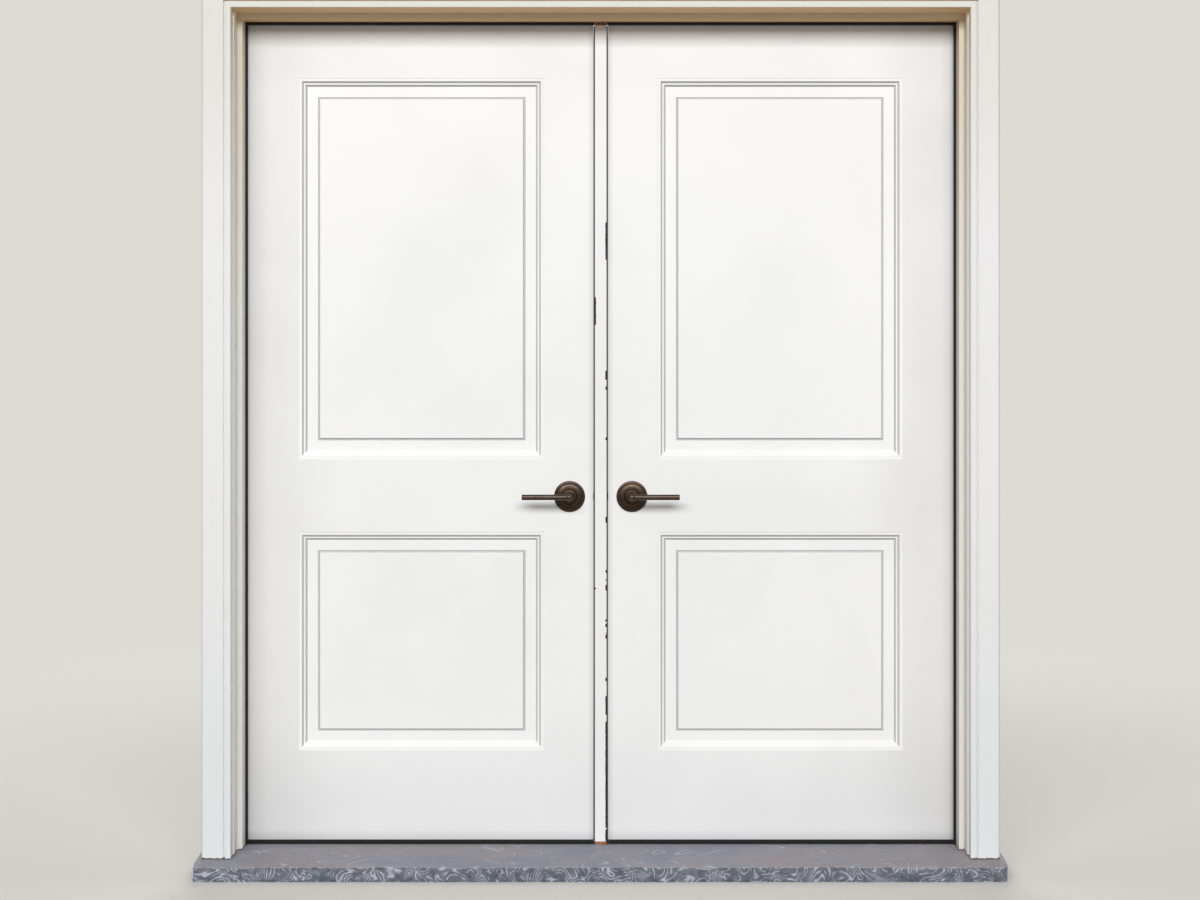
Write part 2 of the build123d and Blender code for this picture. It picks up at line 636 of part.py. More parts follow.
def moulding_ring(z_low, z_high, line):
    """Sweeps a closed section, given as inset and depth, round a panel with mitred corners."""
    start_x = (PANEL_IN_X + PANEL_OUT_X) / 2
    with BuildPart() as ring:
        with BuildLine() as path:
            Polyline((start_x, LEAF_Y, z_low), (PANEL_OUT_X, LEAF_Y, z_low), (PANEL_OUT_X, LEAF_Y, z_high),
                     (PANEL_IN_X, LEAF_Y, z_high), (PANEL_IN_X, LEAF_Y, z_low), close=True)
        with BuildSketch(Plane(origin=(start_x, LEAF_Y, z_low), x_dir=(0, 0, 1), z_dir=(-1, 0, 0))):
            with BuildLine():
                Polyline(*line, close=True)
            make_face()
        sweep(path=path.line, transition=Transition.RIGHT)
    return ring.part


def cross_bore():
    """Cuts the lock set's bore right through the thickness of the leaf."""
    with Locations(Plane(origin=(SPINDLE_X, LEAF_MID_Y, LEVER_Z), z_dir=(0, -1, 0))):
        Cylinder(radius=CROSS_BORE_RADIUS, height=LEAF_THICKNESS + 2, mode=Mode.SUBTRACT)


def edge_bore():
    """Cuts the latch's bore and the faceplate's mortise in from the lock edge."""
    half_y = FACEPLATE_WIDTH / 2 + HOLE_PLAY
    half_z = FACEPLATE_HEIGHT / 2 + HOLE_PLAY
    with Locations(Plane(origin=(LOCK_X, LEAF_MID_Y, LEVER_Z), z_dir=(1, 0, 0))):
        Cylinder(radius=EDGE_BORE_RADIUS, height=BACKSET + EDGE_BORE_PAST_SPINDLE, align=OUTWARD,
                 mode=Mode.SUBTRACT)
    block((LOCK_X, LEAF_MID_Y - half_y, LEVER_Z - half_z),
          (LOCK_X + FACEPLATE, LEAF_MID_Y + half_y, LEVER_Z + half_z), Mode.SUBTRACT)


def make_outer_skin():
    """The outer moulded skin of a leaf: a thin sheet pressed into two raised and fielded panels."""
    section = list(MOULDING) + set_back(MOULDING, SKIN)[::-1]
    rings = [moulding_ring(low, high, section) for low, high in PANELS]
    with BuildPart() as skin:
        block((LOCK_X, LEAF_Y, LEAF_Z), (HINGE_X, LEAF_Y + SKIN, LEAF_TOP_Z))
        for low, high in PANELS:
            block((PANEL_IN_X, LEAF_Y, low), (PANEL_OUT_X, LEAF_Y + SKIN, high), Mode.SUBTRACT)
            block((PANEL_IN_X + FIELD_INSET, LEAF_Y + FIELD_DEPTH, low + FIELD_INSET),
                  (PANEL_OUT_X - FIELD_INSET, LEAF_Y + FIELD_DEPTH + SKIN, high - FIELD_INSET))
        add(rings)
        cross_bore()
    return skin.part


def make_inner_skin(outer_skin):
    """The inner skin: the outer one turned about the leaf's middle, let in for the hinges."""
    turned = turned_round(outer_skin)
    with BuildPart() as skin:
        add(turned)
        hinge_mortises(HINGE_X, -1)
    return skin.part


def make_hinge_stile():
    """The timber down the hinge edge, between the skins."""
    with BuildPart() as stile:
        block((CORE_OUT_X, CORE_Y, LEAF_Z), (HINGE_X, CORE_BACK_Y, LEAF_TOP_Z))
        hinge_mortises(HINGE_X, -1)
        drill(screw_places(HINGE_X, 1, hinge_spots()), SCREW_LENGTH)
    return stile.part


def make_lock_stile():
    """The timber down the lock edge, bored for the latch."""
    with BuildPart() as stile:
        block((LOCK_X, CORE_Y, LEAF_Z), (CORE_X, CORE_BACK_Y, LEAF_TOP_Z))
        edge_bore()
        drill(screw_places(LOCK_X, -1, plate_spots()), SCREW_LENGTH)
    return stile.part


def make_rail(low, high):
    """A timber rail between the stiles."""
    with BuildPart() as rail:
        block((CORE_X, CORE_Y, low), (CORE_OUT_X, CORE_BACK_Y, high))
    return rail.part


def make_lock_block():
    """The timber block behind the levers, bored for the lock set."""
    with BuildPart() as lock_block:
        block((CORE_X, CORE_Y, LOCK_BLOCK_Z), (LOCK_BLOCK_OUT_X, CORE_BACK_Y, LOCK_BLOCK_TOP_Z))
        cross_bore()
        edge_bore()
    return lock_block.part


def panel_hollow(z_low, z_high):
    """The space in the foam behind one panel of the outer skin, a bond line deeper than the skin."""
    line = [(-BOND, SKIN)] + set_back(MOULDING, SKIN + BOND) + [(FIELD_INSET, SKIN)]
    ring = moulding_ring(z_low, z_high, line)
    with BuildPart() as hollow:
        add(ring)
        block((PANEL_IN_X + FIELD_INSET, CORE_Y, z_low + FIELD_INSET),
              (PANEL_OUT_X - FIELD_INSET, LEAF_Y + FIELD_DEPTH + SKIN + BOND, z_high - FIELD_INSET))
    return hollow.part


def make_core():
    """The foam between the skins, hollowed on both faces for the moulded panels."""
    hollows = [panel_hollow(low, high) for low, high in PANELS]
    hollows += [turned_round(hollow) for hollow in hollows]
    with BuildPart() as core:
        block((CORE_X, CORE_Y, CORE_Z), (CORE_OUT_X, CORE_BACK_Y, CORE_TOP_Z))
        add(hollows, mode=Mode.SUBTRACT)
        block((CORE_X, CORE_Y, LOCK_BLOCK_Z), (LOCK_BLOCK_OUT_X, CORE_BACK_Y, LOCK_BLOCK_TOP_Z), Mode.SUBTRACT)
    return core.part


def make_sweep():
    """The rubber sweep under a leaf: a base strip with three fins just clear of the threshold."""
    base_z = LEAF_Z - SWEEP_BASE
    tip_z = THRESHOLD_TOP_Z + SWEEP_CLEARANCE
    front_y = LEAF_Y + SWEEP_SETBACK
    back_y = LEAF_BACK_Y - SWEEP_SETBACK
    with BuildPart() as sweep_strip:
        block((LOCK_X, front_y, base_z), (HINGE_X, back_y, LEAF_Z))
        for y in (front_y, LEAF_MID_Y - SWEEP_FIN / 2, back_y - SWEEP_FIN):
            block((LOCK_X, y, tip_z), (HINGE_X, y + SWEEP_FIN, base_z))
    return sweep_strip.part


# Lock set of a leaf

def revolved(points):
    """Turns a closed outline, given as radius and standoff from the leaf's face, about the spindle."""
    with BuildPart() as turned:
        with BuildSketch(Plane.XY.offset(LEVER_Z)):
            with BuildLine():
                Polyline(*[(SPINDLE_X + radius, LEAF_Y - out) for radius, out in points], close=True)
            make_face()
        revolve(axis=Axis((SPINDLE_X, 0, LEVER_Z), (0, 1, 0)))
    return turned.part


def rose_screw_places(y):
    """Planes for the two screws that clamp the roses, with their normal into the building."""
    return [Plane(origin=(SPINDLE_X, y, LEVER_Z + up), x_dir=(1, 0, 0), z_dir=(0, 1, 0))
            for up in (-ROSE_SCREW_OFFSET, ROSE_SCREW_OFFSET)]


def make_outer_rose():
    """The outer rose, with two tapped bosses that reach into the bore."""
    plate = revolved(ROSE_OUTLINE)
    with BuildPart() as rose:
        add(plate)
        with Locations(*rose_screw_places(LEAF_Y + BOSS_LENGTH)):
            Cylinder(radius=BOSS_RADIUS, height=BOSS_LENGTH + 1, align=INWARD)
            Hole(radius=ROSE_SCREW_RADIUS + HOLE_PLAY, depth=BOSS_LENGTH - 1)
    return rose.part


def make_inner_rose():
    """The inner rose, counterbored for the two clamping screws."""
    plate = turned_round(revolved(ROSE_OUTLINE))
    with BuildPart() as rose:
        add(plate)
        with Locations(*rose_screw_places(LEAF_BACK_Y + ROSE_HOLE_TOP)):
            CounterBoreHole(radius=ROSE_SCREW_RADIUS + HOLE_PLAY, depth=ROSE_HOLE_DEPTH,
                            counter_bore_radius=ROSE_SCREW_HEAD_RADIUS + REBATE_PLAY,
                            counter_bore_depth=ROSE_HOLE_TOP - ROSE_SCREW_SEAT)
    return rose.part


def make_lever():
    """The outer lever: a neck from the rose, a ball elbow and a round bar towards the hinges."""
    bar_y = LEAF_Y - LEVER_STANDOFF
    half = SPINDLE_SOCKET / 2
    neck = revolved(NECK_OUTLINE)
    with BuildPart() as lever:
        add(neck)
        with Locations((SPINDLE_X, bar_y, LEVER_Z)):
            Sphere(radius=LEVER_BALL_RADIUS)
        with Locations(Plane(origin=(SPINDLE_X, bar_y, LEVER_Z), z_dir=(1, 0, 0))):
            Cylinder(radius=LEVER_BAR_RADIUS, height=LEVER_LENGTH, align=OUTWARD)
        tip = lever.faces().sort_by(Axis.X)[-1]
        chamfer(tip.edges(), length=LEVER_TIP_CHAMFER)
        block((SPINDLE_X - half, LEAF_Y - SPINDLE_REACH - 1, LEVER_Z - half),
              (SPINDLE_X + half, LEAF_Y, LEVER_Z + half), Mode.SUBTRACT)
    return lever.part


def make_spindle():
    """The square bar that joins the two levers through the latch."""
    half = SPINDLE / 2
    with BuildPart() as spindle:
        block((SPINDLE_X - half, LEAF_Y - SPINDLE_REACH, LEVER_Z - half),
              (SPINDLE_X + half, LEAF_BACK_Y + SPINDLE_REACH, LEVER_Z + half))
    return spindle.part


def make_latch_case():
    """The latch's faceplate, tube and tail, bored for the bolt and for the spindle to pass."""
    y, z = LEAF_MID_Y, LEVER_Z
    mouth_y = BOLT_WIDTH / 2 + BOLT_PLAY
    mouth_z = BOLT_HEIGHT / 2 + BOLT_PLAY
    slot_y = ROD_HALF_Y + ROD_PLAY
    slot_z = ROD_HALF_Z + ROD_PLAY
    with BuildPart() as case:
        block((LOCK_X, y - FACEPLATE_WIDTH / 2, z - FACEPLATE_HEIGHT / 2),
              (LOCK_X + FACEPLATE, y + FACEPLATE_WIDTH / 2, z + FACEPLATE_HEIGHT / 2))
        with Locations(Plane(origin=(LOCK_X, y, z), z_dir=(1, 0, 0))):
            Cylinder(radius=CASE_RADIUS, height=CASE_END_X - LOCK_X, align=OUTWARD)
        block((CASE_END_X - 1, y - TAIL_HALF_Y, z - TAIL_HALF_Z),
              (TAIL_END_X, y + TAIL_HALF_Y, z + TAIL_HALF_Z))
        with Locations(Plane(origin=(LOCK_X + FACEPLATE, y, z), z_dir=(1, 0, 0))):
            Cylinder(radius=CASE_BORE_RADIUS, height=CASE_END_X - LOCK_X - FACEPLATE - CASE_END_WALL,
                     mode=Mode.SUBTRACT, align=OUTWARD)
        # the bolt's mouth in the faceplate and the rod's slot through to the spindle
        block((LOCK_X, y - mouth_y, z - mouth_z), (LOCK_X + FACEPLATE, y + mouth_y, z + mouth_z), Mode.SUBTRACT)
        block((CASE_END_X - 2 * CASE_END_WALL, y - slot_y, z - slot_z), (SPINDLE_X, y + slot_y, z + slot_z),
              Mode.SUBTRACT)
        with Locations(Plane(origin=(SPINDLE_X, y, z), z_dir=(0, -1, 0))):
            Cylinder(radius=SPINDLE_HOLE_RADIUS, height=2 * TAIL_HALF_Y + 1, mode=Mode.SUBTRACT)
        countersink(screw_places(LOCK_X, -1, plate_spots()), FACEPLATE)
    return case.part


def make_latch_bolt():
    """The bevelled latch bolt, thrown past the leaf's edge, with its draw rod behind."""
    low_y = LEAF_MID_Y - BOLT_WIDTH / 2
    high_y = LEAF_MID_Y + BOLT_WIDTH / 2
    with BuildPart() as bolt:
        with BuildSketch(Plane.XY.offset(LEVER_Z - BOLT_HEIGHT / 2)):
            with BuildLine():
                # the bevel faces outward, so that closing the leaf pushes the bolt in
                Polyline((BOLT_TIP_X, high_y), (BOLT_REAR_X, high_y), (BOLT_REAR_X, low_y), (LOCK_X - 1, low_y),
                         (BOLT_TIP_X, high_y - BOLT_BEVEL_LAND), close=True)
            make_face()
        extrude(amount=BOLT_HEIGHT)
        fillet(bolt.edges().filter_by(Axis.X), radius=BOLT_ROUND)
        block((BOLT_REAR_X - 1, LEAF_MID_Y - ROD_HALF_Y, LEVER_Z - ROD_HALF_Z),
              (ROD_END_X, LEAF_MID_Y + ROD_HALF_Y, LEVER_Z + ROD_HALF_Z))
    return bolt.part


# Screws

def make_frame_screws():
    """Every screw that holds the hinges to the jambs and the strike plates to the post."""
    with BuildPart() as group:
        for side in (-1, 1):
            screws(screw_places(side * JAMB_X, -side, hinge_spots()), SCREW_LENGTH)
            screws(screw_places(side * POST_WIDTH / 2, side, plate_spots()), SHORT_SCREW_LENGTH)
    return group.part


def make_leaf_screws():
    """A leaf's screws: its hinge plates', its latch faceplate's and the two that clamp the roses."""
    seat_y = LEAF_BACK_Y + ROSE_SCREW_SEAT
    with BuildPart() as group:
        screws(screw_places(HINGE_X, 1, hinge_spots()), SCREW_LENGTH)
        screws(screw_places(LOCK_X, -1, plate_spots()), SCREW_LENGTH)
        with Locations(*rose_screw_places(seat_y)):
            Cylinder(radius=ROSE_SCREW_RADIUS, height=seat_y - LEAF_Y - ROSE_SCREW_END, align=INWARD)
            Cylinder(radius=ROSE_SCREW_HEAD_RADIUS, height=ROSE_SCREW_HEAD, align=OUTWARD)
    return group.part


# All pieces

def make_frame():
    """Writes the sill, the timber frame, the centre post and what is fixed to them."""
    sill = make_sill()
    write(sill, "stone_sill")
    write(make_threshold(), "threshold")
    write_pair(make_jamb(sill), "jamb")
    write(make_head_jamb(), "head_jamb")
    write_pair(make_lining(sill), "lining")
    write(make_head_lining(), "head_lining")
    write_pair(make_casing(sill), "casing")
    write(make_head_casing(), "head_casing")
    write_pair(make_jamb_seal(), "jamb_seal")
    write(make_head_seal(), "head_seal")
    write(make_post(), "centre_post")
    write(make_post_end_blocks(), "post_end_blocks")
    write(make_post_seals(), "post_seals")
    write_pair(make_strike_plate(), "strike_plate")
    write_pair(make_hinge_halves(JAMB_X, 1, 0), "hinge_frame_leaves")
    write_pair(make_hinge_pins(), "hinge_pins")
    write(make_frame_screws(), "frame_screws")


def make_leaves():
    """Writes both leaves: skins, timber, core, hinge halves and lock set."""
    outer_skin = make_outer_skin()
    write_pair(outer_skin, "outer_skin")
    write_pair(make_inner_skin(outer_skin), "inner_skin")
    write_pair(make_hinge_stile(), "hinge_stile")
    write_pair(make_lock_stile(), "lock_stile")
    write_pair(make_rail(CORE_TOP_Z, LEAF_TOP_Z), "top_rail")
    write_pair(make_rail(LEAF_Z, CORE_Z), "bottom_rail")
    write_pair(make_lock_block(), "lock_block")
    write_pair(make_core(), "core")
    write_pair(make_sweep(), "sweep")
    write_pair(make_hinge_halves(HINGE_X, -1, 1), "hinge_door_leaves")
    write_pair(make_leaf_screws(), "leaf_screws")
    write_pair(make_outer_rose(), "outer_rose")
    write_pair(make_inner_rose(), "inner_rose")
    write_pair(make_latch_case(), "latch_case")
    lever = make_lever()
    write_pair(lever, "outer_lever")
    write_pair(turned_round(lever), "inner_lever")
    write_pair(make_spindle(), "spindle")
    write_pair(make_latch_bolt(), "latch_bolt")


os.makedirs("parts", exist_ok=True)
make_frame()
make_leaves()
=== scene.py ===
"""Looks of a pair of panelled doors in a painted timber frame, on a rough bluestone sill.

Lengths are in metres. X runs across the opening, Y runs into the building and Z runs up, as in
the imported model. Pieces that come in pairs are drawn for the right side and mirrored for the left.
"""

import logging
import math
from collections.abc import Callable, Sequence
from dataclasses import dataclass, field
from enum import Enum
from functools import reduce

import bmesh
import bpy
from bpy.types import Material, Mesh, Node, NodeSocket, Object
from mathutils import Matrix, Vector, noise

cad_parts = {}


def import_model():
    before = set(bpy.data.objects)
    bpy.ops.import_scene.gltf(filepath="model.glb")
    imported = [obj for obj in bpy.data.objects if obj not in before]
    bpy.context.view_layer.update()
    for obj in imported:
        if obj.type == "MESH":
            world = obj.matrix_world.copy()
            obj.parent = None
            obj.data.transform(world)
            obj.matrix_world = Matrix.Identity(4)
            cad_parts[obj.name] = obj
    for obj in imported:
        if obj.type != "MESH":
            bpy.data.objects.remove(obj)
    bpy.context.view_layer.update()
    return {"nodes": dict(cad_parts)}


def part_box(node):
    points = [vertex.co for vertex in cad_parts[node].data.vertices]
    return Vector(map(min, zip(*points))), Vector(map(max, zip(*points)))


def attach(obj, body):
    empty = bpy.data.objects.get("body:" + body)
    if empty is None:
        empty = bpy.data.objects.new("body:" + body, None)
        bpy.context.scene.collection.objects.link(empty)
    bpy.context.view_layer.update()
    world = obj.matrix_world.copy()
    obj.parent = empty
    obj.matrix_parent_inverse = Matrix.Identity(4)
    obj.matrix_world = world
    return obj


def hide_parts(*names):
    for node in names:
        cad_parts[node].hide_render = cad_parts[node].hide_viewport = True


LOG = logging.getLogger("french_doors")
MM = 0.001
SMOOTH_ANGLE = math.radians(32)
SAME_POINT = 1e-7

Rgb = tuple[int, int, int]
Pair = tuple[float, float]
Point = tuple[float, float, float]


# Shared helpers for numbers

def linear(colour: Rgb) -> tuple[float, float, float, float]:
    """Turns a display colour of 0 to 255 into Blender's linear colour with alpha.

    Args:
        colour: red, green and blue as they show on a screen.

    Returns:
        The same colour as scene-linear red, green, blue and alpha.
    """
    shares = [value / 255 for value in colour]
    low, split, lift, power = 12.92, 0.04045, 0.055, 2.4
    channels = [s / low if s <= split else ((s + lift) / (1 + lift)) ** power for s in shares]
    return (*channels, 1.0)


def eased(value: float, low: float, high: float) -> float:
    """A smooth step from 0 at low to 1 at high, where high may be below low."""
    share = min(1.0, max(0.0, (value - low) / (high - low)))
    return share * share * (3 - 2 * share)


def softened(points: Sequence[Pair], cut: float, steps: int = 3) -> list[Pair]:
    """Rounds the inner corners of an open outline.

    Args:
        points: the outline's corners.
        cut: how far from a corner its round starts, less where an edge is short.
        steps: the number of edges in each round.

    Returns:
        The outline with a short curve in place of each inner corner.
    """
    most_of_edge = 0.45
    result = [tuple(points[0])]
    for before, corner, after in zip(points, points[1:], points[2:]):
        here = Vector(corner)
        back = Vector(before) - here
        ahead = Vector(after) - here
        reach = min(cut, most_of_edge * back.length, most_of_edge * ahead.length)
        start = here + back.normalized() * reach
        end = here + ahead.normalized() * reach
        for number in range(steps + 1):
            share = number / steps
            result.append(tuple(start.lerp(here, share).lerp(here.lerp(end, share), share)))
    result.append(tuple(points[-1]))
    return result


def set_back(line: Sequence[Pair], distance: float) -> list[Pair]:
    """Moves an outline back by a distance, with mitred corners and its ends straight behind.

    Args:
        line: the outline, as steps in from an edge against depth.
        distance: how far back it moves.

    Returns:
        The moved outline.
    """
    moved = []
    for start, end in zip(line, line[1:]):
        along = (Vector(end) - Vector(start)).normalized()
        moved.append((Vector(start) + Vector((-along.y, along.x)) * distance, along))
    points = [(line[0][0], line[0][1] + distance)]
    for (start, along), (other, other_along) in zip(moved, moved[1:]):
        cross = along.x * other_along.y - along.y * other_along.x
        apart = other - start
        reach = (apart.x * other_along.y - apart.y * other_along.x) / cross
        points.append(tuple(start + along * reach))
    points.append((line[-1][0], line[-1][1] + distance))
    return points


@dataclass(frozen=True)
class Pattern:
    """A fixed pattern of noise in space, from its rates along the axes and its seed."""

    rate: Point
    seed: Point = (0, 0, 0)
    # for fractal noise: its smoothness, how much finer each layer is, and the number of layers
    smooth: float = 0.9
    step: float = 2.1
    layers: int = 0

    def place(self, x: float, y: float, z: float) -> Vector:
        """Where the noise is read for a point."""
        return Vector([value * rate + seed for value, rate, seed in zip((x, y, z), self.rate, self.seed)])

    def at(self, x: float, y: float, z: float) -> float:
        """Reads the pattern: fractal noise, or plain noise where it has no finer layers.

        Args:
            x: the point's place across the opening.
            y: its place into the building.
            z: its height.

        Returns:
            The value, from about -1 to 1.
        """
        place = self.place(x, y, z)
        if self.layers == 0:
            return noise.noise(place)
        return noise.fractal(place, self.smooth, self.step, self.layers)


class Side(Enum):
    """The two sides of the doorway, with the sign of X on each."""

    LEFT = -1
    RIGHT = 1

    @property
    def word(self) -> str:
        """The side's word at the start of its pieces' names."""
        return self.name.lower()


# Materials

class ShaderTree:
    """A material's nodes, with a short call for each kind that the finishes use."""

    edge_samples: int = 6
    # how far the surface turns at an edge, from where the edge's wear or painted highlight starts to where it
    # is whole
    edge_turn: Pair = (0.015, 0.12)
    edge_break: Pair = (0.42, 0.58)
    smudge_size: float = 20 * MM

    def __init__(self, name: str) -> None:
        """Starts a material with one Principled shader.

        Args:
            name: the material's name.
        """
        self.material: Material = bpy.data.materials.new(name)
        self.material.use_nodes = True
        self.nodes = self.material.node_tree.nodes
        self.links = self.material.node_tree.links
        self.shader: Node = self.nodes["Principled BSDF"]
        self.place: NodeSocket = self.add("ShaderNodeTexCoord").outputs["Object"]
        self.normal: NodeSocket | None = None

    def feed(self, socket: NodeSocket, value: object) -> None:
        """Links a socket, or sets its value where a plain one is given.

        Args:
            socket: the input to feed.
            value: another node's output, or a plain value.
        """
        if isinstance(value, NodeSocket):
            self.links.new(value, socket)
        else:
            socket.default_value = value

    def add(self, kind: str, inputs: dict[str | int, object] | None = None, **settings: object) -> Node:
        """Adds a node.

        Args:
            kind: the node's type.
            inputs: values or sockets to link, by the input's name or number.
            settings: the node's own properties.

        Returns:
            The new node.
        """
        node = self.nodes.new(kind)
        for name, value in settings.items():
            setattr(node, name, value)
        for name, value in (inputs or {}).items():
            self.feed(node.inputs[name], value)
        return node

    def axis(self, letter: str) -> NodeSocket:
        """One coordinate of the place on the object, in metres."""
        return self.add("ShaderNodeSeparateXYZ", {"Vector": self.place}).outputs[letter]

    def facing(self, letter: str) -> NodeSocket:
        """One part of the direction that the surface faces."""
        normal = self.add("ShaderNodeNewGeometry").outputs["Normal"]
        return self.add("ShaderNodeSeparateXYZ", {"Vector": normal}).outputs[letter]

    def stretched(self, share: Point) -> NodeSocket:
        """The place on the object with each axis multiplied by a share."""
        return self.add("ShaderNodeVectorMath", {0: self.place, 1: share}, operation="MULTIPLY").outputs[0]

    def math(self, operation: str, first: object, second: object = 0.0) -> NodeSocket:
        """The result of a maths operation on one or two values."""
        return self.add("ShaderNodeMath", {0: first, 1: second}, operation=operation).outputs[0]

    def product(self, *values: object) -> NodeSocket:
        """Several values multiplied together."""
        return reduce(lambda first, second: self.math("MULTIPLY", first, second), values)

    def total(self, *values: object) -> NodeSocket:
        """Several values added up."""
        return reduce(lambda first, second: self.math("ADD", first, second), values)

    def span(self, value: NodeSocket, low: float, high: float, start: float = 0,
             end: float = 1) -> NodeSocket:
        """Maps a value from one span onto another, held at both ends."""
        inputs = {"Value": value, "From Min": low, "From Max": high, "To Min": start, "To Max": end}
        return self.add("ShaderNodeMapRange", inputs, interpolation_type="SMOOTHSTEP").outputs["Result"]

    def cloud(self, size: float, detail: float = 3, rough: float = 0.55, share: Point = (1, 1, 1),
              warp: float = 0) -> NodeSocket:
        """Noise between 0 and 1.

        Args:
            size: the size of its largest features.
            detail: the number of finer layers.
            rough: how strong the finer layers are.
            share: a multiplier for each axis, where under 1 is drawn out.
            warp: how far the pattern is twisted.

        Returns:
            The noise's value.
        """
        inputs = {"Vector": self.stretched(share), "Scale": 1 / size, "Detail": detail, "Roughness": rough,
                  "Distortion": warp}
        return self.add("ShaderNodeTexNoise", inputs).outputs["Fac"]

    def swirls(self, size: float, count: float, width: float, warp: float,
               share: Point = (1, 1, 1)) -> NodeSocket:
        """Nested curved lines, like the contours of low hills.

        Args:
            size: the size of the hills.
            count: how fast the lines follow each other up a hill.
            width: the lines' width, from 0 to 2.
            warp: how far the lines are twisted.
            share: a multiplier for each axis.

        Returns:
            1 on the lines and 0 away from them.
        """
        hills = self.cloud(size, detail=1.2, rough=0.4, share=share, warp=warp)
        wave = self.math("SINE", self.product(hills, count))
        return self.span(wave, 1 - width, 1)

    def varied(self, value: float, drift: float) -> NodeSocket:
        """A value that drifts up and down a little from smudge to smudge."""
        smudges = self.cloud(self.smudge_size, detail=3, rough=0.6)
        return self.span(smudges, 0.3, 0.7, value - drift, value + drift)

    def mix(self, share: object, first: object, second: object) -> NodeSocket:
        """Mixes two colours by a share, where 1 is the second.

        Args:
            share: a value or socket between 0 and 1.
            first: a display colour or a socket.
            second: a display colour or a socket.

        Returns:
            The mixed colour.
        """
        sockets = [c if isinstance(c, NodeSocket) else linear(c) for c in (first, second)]
        inputs = {0: share, 6: sockets[0], 7: sockets[1]}
        return self.add("ShaderNodeMix", inputs, data_type="RGBA").outputs[2]

    def raise_by(self, height: NodeSocket, distance: float) -> None:
        """Adds a layer of relief over the relief so far.

        Args:
            height: the relief's shape, between 0 and 1.
            distance: how high a value of 1 stands.
        """
        inputs: dict[str | int, object] = {"Height": height, "Distance": distance, "Strength": 1.0}
        if self.normal is not None:
            inputs["Normal"] = self.normal
        self.normal = self.add("ShaderNodeBump", inputs).outputs["Normal"]

    def edges(self, radius: float, ragged: float) -> NodeSocket:
        """Where the surface turns an edge, broken up by noise.

        Args:
            radius: how far from an edge the mask reaches.
            ragged: the size of the noise that breaks it up.

        Returns:
            1 on worn edges and 0 on flat stretches.
        """
        rounded = self.add("ShaderNodeBevel", {"Radius": radius}, samples=self.edge_samples).outputs["Normal"]
        plain = self.add("ShaderNodeNewGeometry").outputs["Normal"]
        product = self.add("ShaderNodeVectorMath", {0: rounded, 1: plain}, operation="DOT_PRODUCT")
        turned_away = self.span(self.math("SUBTRACT", 1.0, product.outputs["Value"]), *self.edge_turn)
        return self.product(turned_away, self.span(self.cloud(ragged, detail=4, rough=0.7), *self.edge_break))

    def finish(self, colour: object, rough: object, metal: float = 0.0, shine: float = 0.5) -> Material:
        """Sets the shader's inputs and ends the material.

        Args:
            colour: a display colour or a socket.
            rough: the roughness, as a value or a socket.
            metal: 1 for bare metal.
            shine: the specular level.

        Returns:
            The finished material.
        """
        plain_colour = not isinstance(colour, NodeSocket)
        self.feed(self.shader.inputs["Base Color"], linear(colour) if plain_colour else colour)
        self.feed(self.shader.inputs["Roughness"], rough)
        self.shader.inputs["Metallic"].default_value = metal
        self.shader.inputs["Specular IOR Level"].default_value = shine
        if self.normal is not None:
            self.links.new(self.normal, self.shader.inputs["Normal"])
        return self.material


@dataclass(frozen=True)
class LeafPaint:
    """Satin white paint sprayed on the moulded leaves, with a faint stipple, dirt patches and painted shade
    near the borders.
    """

    name: str
    colour: Rgb = (246, 246, 246)
    # the grey of the faint dirt patches and of the painted shade
    grime: Rgb = (150, 150, 151)
    soiled: bool = True
    # each stretch of painted shade: where it starts and where it is whole, and its share there
    hinge_side: Pair = (640 * MM, 880 * MM)
    hinge_side_share: float = 0.22
    hinge_edge: Pair = (886 * MM, 914 * MM)
    hinge_edge_share: float = 0.4
    lock_edge: Pair = (36 * MM, 19.5 * MM)
    lock_edge_share: float = 0.24
    foot: Pair = (96 * MM, 67 * MM)
    foot_share: float = 0.25
    low_rail: Pair = (420 * MM, 90 * MM)
    low_rail_share: float = 0.12
    head: Pair = (1950 * MM, 2060 * MM)
    head_share: float = 0.05
    # how strong the hinge edge's painted shade is on the left leaf and on the right leaf
    leaf_shares: Pair = (0.8, 2.1)
    middle: Pair = (-100 * MM, 100 * MM)
    patch_size: float = 350 * MM
    patch_share: float = 0.06
    rough: float = 0.42
    rough_drift: float = 0.04
    stipple_size: float = 2.2 * MM
    stipple: float = 0.012 * MM
    ripple_size: float = 90 * MM
    ripple: float = 0.05 * MM

    def material(self) -> Material:
        """Makes the paint of one part of the leaves, or of the post.

        Returns:
            The material.
        """
        tree = ShaderTree(self.name)
        tree.raise_by(tree.cloud(self.ripple_size, detail=1, rough=0.5), self.ripple)
        tree.raise_by(tree.cloud(self.stipple_size, detail=2, rough=0.5), self.stipple)
        patches = tree.cloud(self.patch_size, detail=2, rough=0.5)
        dirt = tree.span(patches, 0.35, 0.7, 0, self.patch_share)
        # painted shade, darker towards the hinges, the edges, the foot and the head
        if self.soiled:
            dirt = tree.total(dirt, self.soil(tree))
        return tree.finish(tree.mix(dirt, self.colour, self.grime), tree.varied(self.rough, self.rough_drift))

    def soil(self, tree: ShaderTree) -> NodeSocket:
        """Finds the share of painted shade, which rises towards the hinges and the foot, along the edges and
        at the head.

        Args:
            tree: the material's nodes.

        Returns:
            The share.
        """
        x, z = tree.axis("X"), tree.axis("Z")
        across = tree.math("ABSOLUTE", x)
        strength = tree.span(x, *self.middle, *self.leaf_shares)
        return tree.total(
            tree.span(across, *self.hinge_side, 0, self.hinge_side_share),
            tree.product(tree.span(across, *self.hinge_edge, 0, self.hinge_edge_share), strength),
            tree.span(across, *self.lock_edge, 0, self.lock_edge_share),
            tree.span(z, *self.foot, 0, self.foot_share),
            tree.span(z, *self.low_rail, 0, self.low_rail_share),
            tree.span(z, *self.head, 0, self.head_share))


